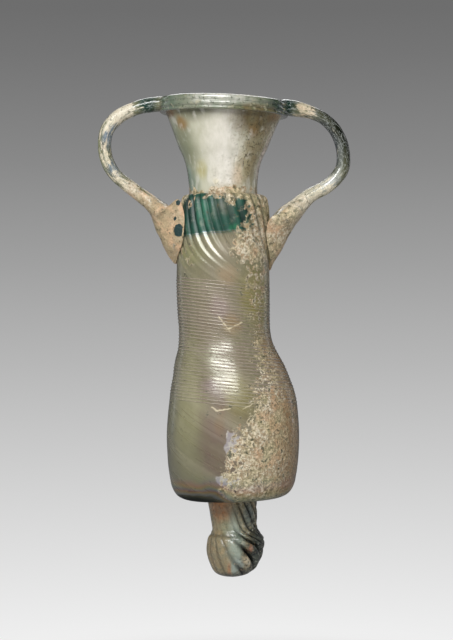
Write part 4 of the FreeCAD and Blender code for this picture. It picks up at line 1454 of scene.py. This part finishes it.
def trailed_handle_glass(colours, name):
    """Soda-lime glass, drawn out hot as a rod.

    Drawing leaves a smooth gloss and patterns that run along the rod, in olive and slate where it
    is clean; dull crust in cream and peach covers the rest.
    """
    material, tree, mark = new_material(
        name + "_drawn_olive_glass",
        Fac=("crust", "peach", "white", "chip"),
        Color=("stain",),
        Vector=("drawn",),
    )
    number = "ShaderNodeMath"
    place = add_node(tree, "ShaderNodeTexCoord", {}, "Object")
    sockets = {"Vector": mark["drawn"], "Scale": (1.0, 1.0, 0.55)}
    drawn = add_node(tree, "ShaderNodeMapping", sockets)
    clouded = speckle(tree, drawn, 3.0 * MM, 0.40, 0.64, detail=6.0, coarse=0.6)
    pale = speckle(tree, drawn, 1.2 * MM, 0.56, 0.64, detail=8.0, coarse=0.7)
    # Pale lines where the noise passes through a half; real scratches are finer than a pixel, so
    # these are drawn a third of a millimetre wide.
    above = speckle(tree, drawn, 1.8 * MM, 0.485, 0.505, detail=5.0, coarse=0.6)
    below = speckle(tree, drawn, 1.8 * MM, 0.515, 0.535, detail=5.0, coarse=0.6)
    line = add_node(tree, number, {0: above, 1: below}, operation="SUBTRACT")
    edge = {"spread": 0.55, "soft": 0.16, "detail": 8.0, "coarse": 0.65}
    crust = ragged(tree, mark["crust"], drawn, 2.2 * MM, **edge)
    patches = speckle(tree, place, 5.0 * MM, 0.42, 0.62, detail=6.0, coarse=0.6)
    skin = layered(tree, opaque(linear("9c8a6a")), [(patches, 1.0, "c4a17f")])
    specks = speckle(tree, place, 1.3 * MM, 0.56, 0.62, detail=8.0, coarse=0.72)
    shades = [(mark["white"], 0.6, "d8d3c0"), (mark["peach"], 0.75, skin), (specks, 0.8, "4a4834")]
    cover = layered(tree, crust_colour(tree, place, colours), shades)
    layers = [
        (clouded, 0.5, "262b1e"),
        (pale, 0.4, "a9aaa2"),
        (line, 0.4, "b9bdba"),
        (crust, 1.0, cover),
        (ragged(tree, mark["chip"], place, 2.0 * MM, spread=0.2, soft=0.06), 1.0, "10302f"),
    ]
    gritty = speckle(tree, place, 0.9 * MM, 0.3, 0.8, detail=4.0)
    finished(
        tree,
        layered(tree, mark["stain"], layers),
        (crust, 0.16, 0.55),
        add_node(tree, number, {0: gritty, 1: crust}, operation="MULTIPLY"),
        0.12 * MM,
        IOR=1.5,
        Coat_Weight=0.2,
        Coat_Roughness=0.08,
    )
    return material


def tooled_toe_glass():
    """Soda-lime glass, tooled hot with a ribbing iron.

    Its pressed skin is uneven, so its gloss is broken: wet-looking on the right's ribs, stained tan
    on the left. Dark specks and painted shade make the right side green black, and painted shade
    darkens the valleys.
    """
    shares = ("right", "valley")
    material, tree, mark = new_material("tooled_dark_green_glass", Fac=shares, Color=("stain",))
    number = "ShaderNodeMath"
    place = add_node(tree, "ShaderNodeTexCoord", {}, "Object")
    clouded = speckle(tree, place, 2.5 * MM, 0.40, 0.62, detail=6.0, coarse=0.6)
    pale = speckle(tree, place, 1.2 * MM, 0.54, 0.64, detail=6.0, coarse=0.6)
    pale = add_node(tree, number, {0: pale, 1: mark["right"]}, operation="MULTIPLY")
    dark = speckle(tree, place, 1.0 * MM, 0.54, 0.62, detail=5.0)
    dark = add_node(tree, number, {0: dark, 1: mark["right"]}, operation="MULTIPLY")
    pits = speckle(tree, place, 1.3 * MM, 0.58, 0.65, detail=7.0, coarse=0.7)
    specks = speckle(tree, place, 0.9 * MM, 0.60, 0.68, detail=4.0)
    layers = [
        (clouded, 0.35, "6c7260"),
        (pale, 0.6, "a8aa9c"),
        (dark, 0.75, "141d19"),
        # Painted shade in the valleys and the crease
        (mark["valley"], 1.0, "0a110e"),
        (pits, 0.55, "2a3227"),
        (specks, 0.4, "b59c7c"),
    ]
    finished(
        tree,
        layered(tree, mark["stain"], layers),
        (clouded, 0.24, 0.42),
        clouded,
        0.1 * MM,
        IOR=1.52,
        Coat_Weight=0.45,
        Coat_Roughness=0.13,
    )
    return material


# Stage

# Grey of the backdrop as the front camera sees it: degrees over the horizon, grey as sRGB hex.
BACKDROP_GREYS = (
    (-9.5, "f3f3f3"),
    (-6.9, "e1e1e1"),
    (-4.0, "cccccc"),
    (-1.2, "b6b6b6"),
    (1.7, "9f9f9f"),
    (4.6, "888888"),
    (7.5, "757575"),
    (9.5, "6a6a6a"),
)
CAMERA_PLACE = (-2.3 * MM, -710 * MM, 91.5 * MM)
CAMERA_LENS = 111.7
SENSOR_WIDTH = 36.0
# Where the softboxes aim
OBJECT_MIDDLE = (-3 * MM, 0.0, 90 * MM)
# Backdrop, in metres: height and radius of the floor, radius of the curve up, top of the wall
FLOOR_HEIGHT = -42 * MM
FLOOR_RADIUS, CURVE_RADIUS, WALL_TOP = 1.15, 0.5, 2.6
FLOOR_ROWS, CURVE_ROWS, WALL_ROWS, BACKDROP_AROUND = 60, 30, 20, 96
# Radii between which the floor turns from paper under the object into backdrop
FAR_FLOOR = (0.05, 0.15)
# Softboxes: name, place, width and height in metres, power in watts.
SOFTBOXES = (
    ("front_key", (-0.21, -0.80, 0.60), (0.80, 0.26), 11.0),
    ("left_side", (-0.75, 0.60, 0.30), (0.10, 0.60), 0.2),
    ("right_side", (0.75, 0.60, 0.30), (0.10, 0.60), 0.3),
    ("back_top", (0.0, 0.75, 0.70), (0.60, 0.30), 2.1),
)
# Bright table in front of the object: place, width and depth in metres, power in watts.
TABLE = ((-0.02, -0.42, -0.035), (0.16, 0.50), 0.6)
SKY_STRENGTH = 0.18


def studio_surface():
    """Matt paper, sprayed with a grey that fades.

    A camera ray sees the backdrop's own grey on the wall and the far floor, and half grey, half lit
    paper near the object, where the shadow falls. A reflection sees the grey at three tenths.
    """
    material, tree, mark = new_material("matt_paper", Fac=("far",), Vector=("grey",))
    number = "ShaderNodeMath"
    rays = add_node(tree, "ShaderNodeLightPath", {}).node.outputs
    sockets = {0: rays["Is Camera Ray"], 1: rays["Is Transmission Ray"]}
    straight = add_node(tree, number, sockets, operation="MAXIMUM")
    share = add_node(tree, number, {0: straight, 1: (mark["far"], 0.5, 1.0)}, operation="MULTIPLY")
    share = add_node(tree, number, {0: share, 1: rays["Is Glossy Ray"]}, operation="MAXIMUM")
    paper = add_node(tree, "ShaderNodeBsdfDiffuse", {"Color": opaque(linear("d8d8d8"))})
    sockets = {"Color": mark["grey"], "Strength": (straight, 0.3, 1.0)}
    shown = add_node(tree, "ShaderNodeEmission", sockets)
    mix = add_node(tree, "ShaderNodeMixShader", {0: share, 1: paper, 2: shown})
    add_node(tree, "ShaderNodeOutputMaterial", {"Surface": mix})
    return material


def build_backdrop():
    """A floor that curves up into a round wall: floor, quarter circle and wall, turned.

    Its grey at a place is the table's at the angle at which the camera sees that place over the
    horizon, and it counts as far by the eased distance from the object.
    """
    flat = np.stack([np.linspace(0, FLOOR_RADIUS, FLOOR_ROWS), np.zeros(FLOOR_ROWS)], axis=-1)
    bend = np.linspace(0, math.pi / 2, CURVE_ROWS)[1:]
    out = FLOOR_RADIUS + CURVE_RADIUS * np.sin(bend)
    curve = np.stack([out, CURVE_RADIUS - CURVE_RADIUS * np.cos(bend)], axis=-1)
    up = np.linspace(CURVE_RADIUS, WALL_TOP, WALL_ROWS + 1)[1:]
    rise = np.stack([np.full(WALL_ROWS, FLOOR_RADIUS + CURVE_RADIUS), up], axis=-1)
    rows = np.concatenate([flat, curve, rise]) + (0, FLOOR_HEIGHT)
    angle = all_round(BACKDROP_AROUND)
    x = rows[:, :1] * np.cos(angle)
    y = rows[:, :1] * np.sin(angle)
    grid = np.stack([x, y, rows[:, 1:] + 0 * angle], axis=-1)
    over = np.degrees(np.arctan2(rows[:, 1] - CAMERA_PLACE[2], rows[:, 0] - CAMERA_PLACE[1]))
    greys = np.array([linear(code)[0] for _, code in BACKDROP_GREYS])
    grey = np.interp(over, [degrees for degrees, _ in BACKDROP_GREYS], greys)
    here = np.arange(grid[..., 0].size).reshape(grid.shape[:2])
    quads = woven(here[:-1], here[1:])[:, ::-1].tolist()
    marks = {
        "grey": np.repeat(grey, 3 * BACKDROP_AROUND),
        "far": np.repeat(eased(rows[:, 0], *FAR_FLOOR), BACKDROP_AROUND),
    }
    floor = new_object("studio_floor", grid.reshape(-1, 3), quads, marks, studio_surface())


def add_softbox(name, place, aim, size, power):
    """A rectangular soft light at a place, turned to an aim, hidden from the camera itself."""
    lamp = bpy.data.lights.new(name, "AREA")
    lamp.shape = "RECTANGLE"
    lamp.size, lamp.size_y = size
    lamp.energy = power
    light = bpy.data.objects.new(name, lamp)
    way = np.array(aim) - np.array(place)
    light.location = place
    light.rotation_euler = (
        math.atan2(math.hypot(way[0], way[1]), -way[2]),
        0,
        math.atan2(way[1], way[0]) - math.pi / 2,
    )
    light.visible_camera = False
    light.visible_glossy = place[2] > 0
    bpy.context.scene.collection.objects.link(light)


def build_stage():
    """Camera, softboxes, world and backdrop."""
    scene = bpy.context.scene
    camera_data = bpy.data.cameras.new("camera")
    camera_data.lens = CAMERA_LENS
    camera_data.sensor_width = SENSOR_WIDTH
    camera = bpy.data.objects.new("camera", camera_data)
    camera.location = CAMERA_PLACE
    camera.rotation_euler = (math.pi / 2, 0, 0)
    scene.collection.objects.link(camera)
    scene.camera = camera
    for name, place, size, power in SOFTBOXES:
        add_softbox(name, place, OBJECT_MIDDLE, size, power)
    place, size, power = TABLE
    add_softbox("bright_table", place, (place[0], place[1], 1.0), size, power)
    world = bpy.data.worlds.new("studio")
    world.use_nodes = True
    tree = world.node_tree
    tree.nodes.clear()
    sockets = {"Color": opaque(linear("c8c8c8")), "Strength": SKY_STRENGTH}
    sky = add_node(tree, "ShaderNodeBackground", sockets)
    add_node(tree, "ShaderNodeOutputWorld", {"Surface": sky})
    scene.world = world
    scene.view_settings.view_transform = "Standard"
    build_backdrop()


# Operators, one for each piece and one for the stage


class AMPHORISKOS_OT_flask(bpy.types.Operator):
    """Builds the first gather: funnel, neck and lining"""

    bl_idname = "amphoriskos.flask"
    bl_label = "Funnel and lining"

    def execute(self, context):
        scene = context.scene
        build_flask(scene.amphoriskos_body, scene.amphoriskos_mouth, scene.amphoriskos_colours)
        return {"FINISHED"}


class AMPHORISKOS_OT_sheath(bpy.types.Operator):
    """Builds the second gather: ribbed collar and waisted body"""

    bl_idname = "amphoriskos.sheath"
    bl_label = "Ribbed body"

    def execute(self, context):
        scene = context.scene
        build_sheath(scene.amphoriskos_body, scene.amphoriskos_colours)
        return {"FINISHED"}


class AMPHORISKOS_OT_thread(bpy.types.Operator):
    """Winds the thread round the upper body"""

    bl_idname = "amphoriskos.thread"
    bl_label = "Wound thread"

    def execute(self, context):
        scene = context.scene
        build_thread(scene.amphoriskos_body, scene.amphoriskos_thread, scene.amphoriskos_colours)
        return {"FINISHED"}


class AMPHORISKOS_OT_rim(bpy.types.Operator):
    """Lays the rim band round the mouth"""

    bl_idname = "amphoriskos.rim"
    bl_label = "Rim band"

    def execute(self, context):
        scene = context.scene
        build_rim(scene.amphoriskos_body, scene.amphoriskos_mouth)
        return {"FINISHED"}


class AMPHORISKOS_OT_handles(bpy.types.Operator):
    """Draws the two handles from the collar to the rim"""

    bl_idname = "amphoriskos.handles"
    bl_label = "Handles"

    def execute(self, context):
        scene = context.scene
        sizes, colours = scene.amphoriskos_handles, scene.amphoriskos_colours
        left = (LEFT_COURSE, sizes.left_rod, "left_handle")
        build_handle("left_loop_handle", *left, colours, LEFT_LOOKS)
        right = (RIGHT_COURSE, sizes.right_rod, "right_handle")
        build_handle("right_loop_handle", *right, colours, RIGHT_LOOKS)
        return {"FINISHED"}


class AMPHORISKOS_OT_toe(bpy.types.Operator):
    """Builds the knobbed toe"""

    bl_idname = "amphoriskos.toe"
    bl_label = "Knobbed toe"

    def execute(self, context):
        build_toe(context.scene.amphoriskos_toe)
        return {"FINISHED"}


class AMPHORISKOS_OT_stage(bpy.types.Operator):
    """Sets up floor, backdrop, lights and camera"""

    bl_idname = "amphoriskos.stage"
    bl_label = "Studio"

    def execute(self, context):
        build_stage()
        return {"FINISHED"}


OPERATORS = (
    AMPHORISKOS_OT_flask,
    AMPHORISKOS_OT_sheath,
    AMPHORISKOS_OT_thread,
    AMPHORISKOS_OT_rim,
    AMPHORISKOS_OT_handles,
    AMPHORISKOS_OT_toe,
    AMPHORISKOS_OT_stage,
)


GROUPS = {
    "amphoriskos_body": BodySizes,
    "amphoriskos_thread": ThreadSizes,
    "amphoriskos_mouth": MouthSizes,
    "amphoriskos_handles": HandleSizes,
    "amphoriskos_toe": ToeSizes,
    "amphoriskos_colours": GlassColours,
}


class AMPHORISKOS_PT_sidebar(bpy.types.Panel):
    """Lists the bottle's pieces and their sizes"""

    bl_label = "Amphoriskos"
    bl_idname = "AMPHORISKOS_PT_sidebar"
    bl_space_type = "VIEW_3D"
    bl_region_type = "UI"
    bl_category = "Amphoriskos"

    def draw(self, context):
        for operator in OPERATORS:
            self.layout.operator(operator.bl_idname)
        for group in GROUPS:
            settings = getattr(context.scene, group)
            for name in settings.bl_rna.properties.keys():
                if name not in ("rna_type", "name"):
                    self.layout.prop(settings, name)


def register():
    """Registers the settings, the operators and the panel."""
    for made in (*GROUPS.values(), *OPERATORS, AMPHORISKOS_PT_sidebar):
        bpy.utils.register_class(made)
    for name, group in GROUPS.items():
        setattr(bpy.types.Scene, name, bpy.props.PointerProperty(type=group))


def unregister():
    """Takes the panel, the operators and the settings away again."""
    for name in GROUPS:
        delattr(bpy.types.Scene, name)
    for made in (AMPHORISKOS_PT_sidebar, *OPERATORS, *GROUPS.values()):
        bpy.utils.unregister_class(made)


def main():
    """Builds every piece and the stage."""
    register()
    for operator in OPERATORS:
        group, name = operator.bl_idname.split(".")
        getattr(getattr(bpy.ops, group), name)()


if __name__ == "__main__":
    main()
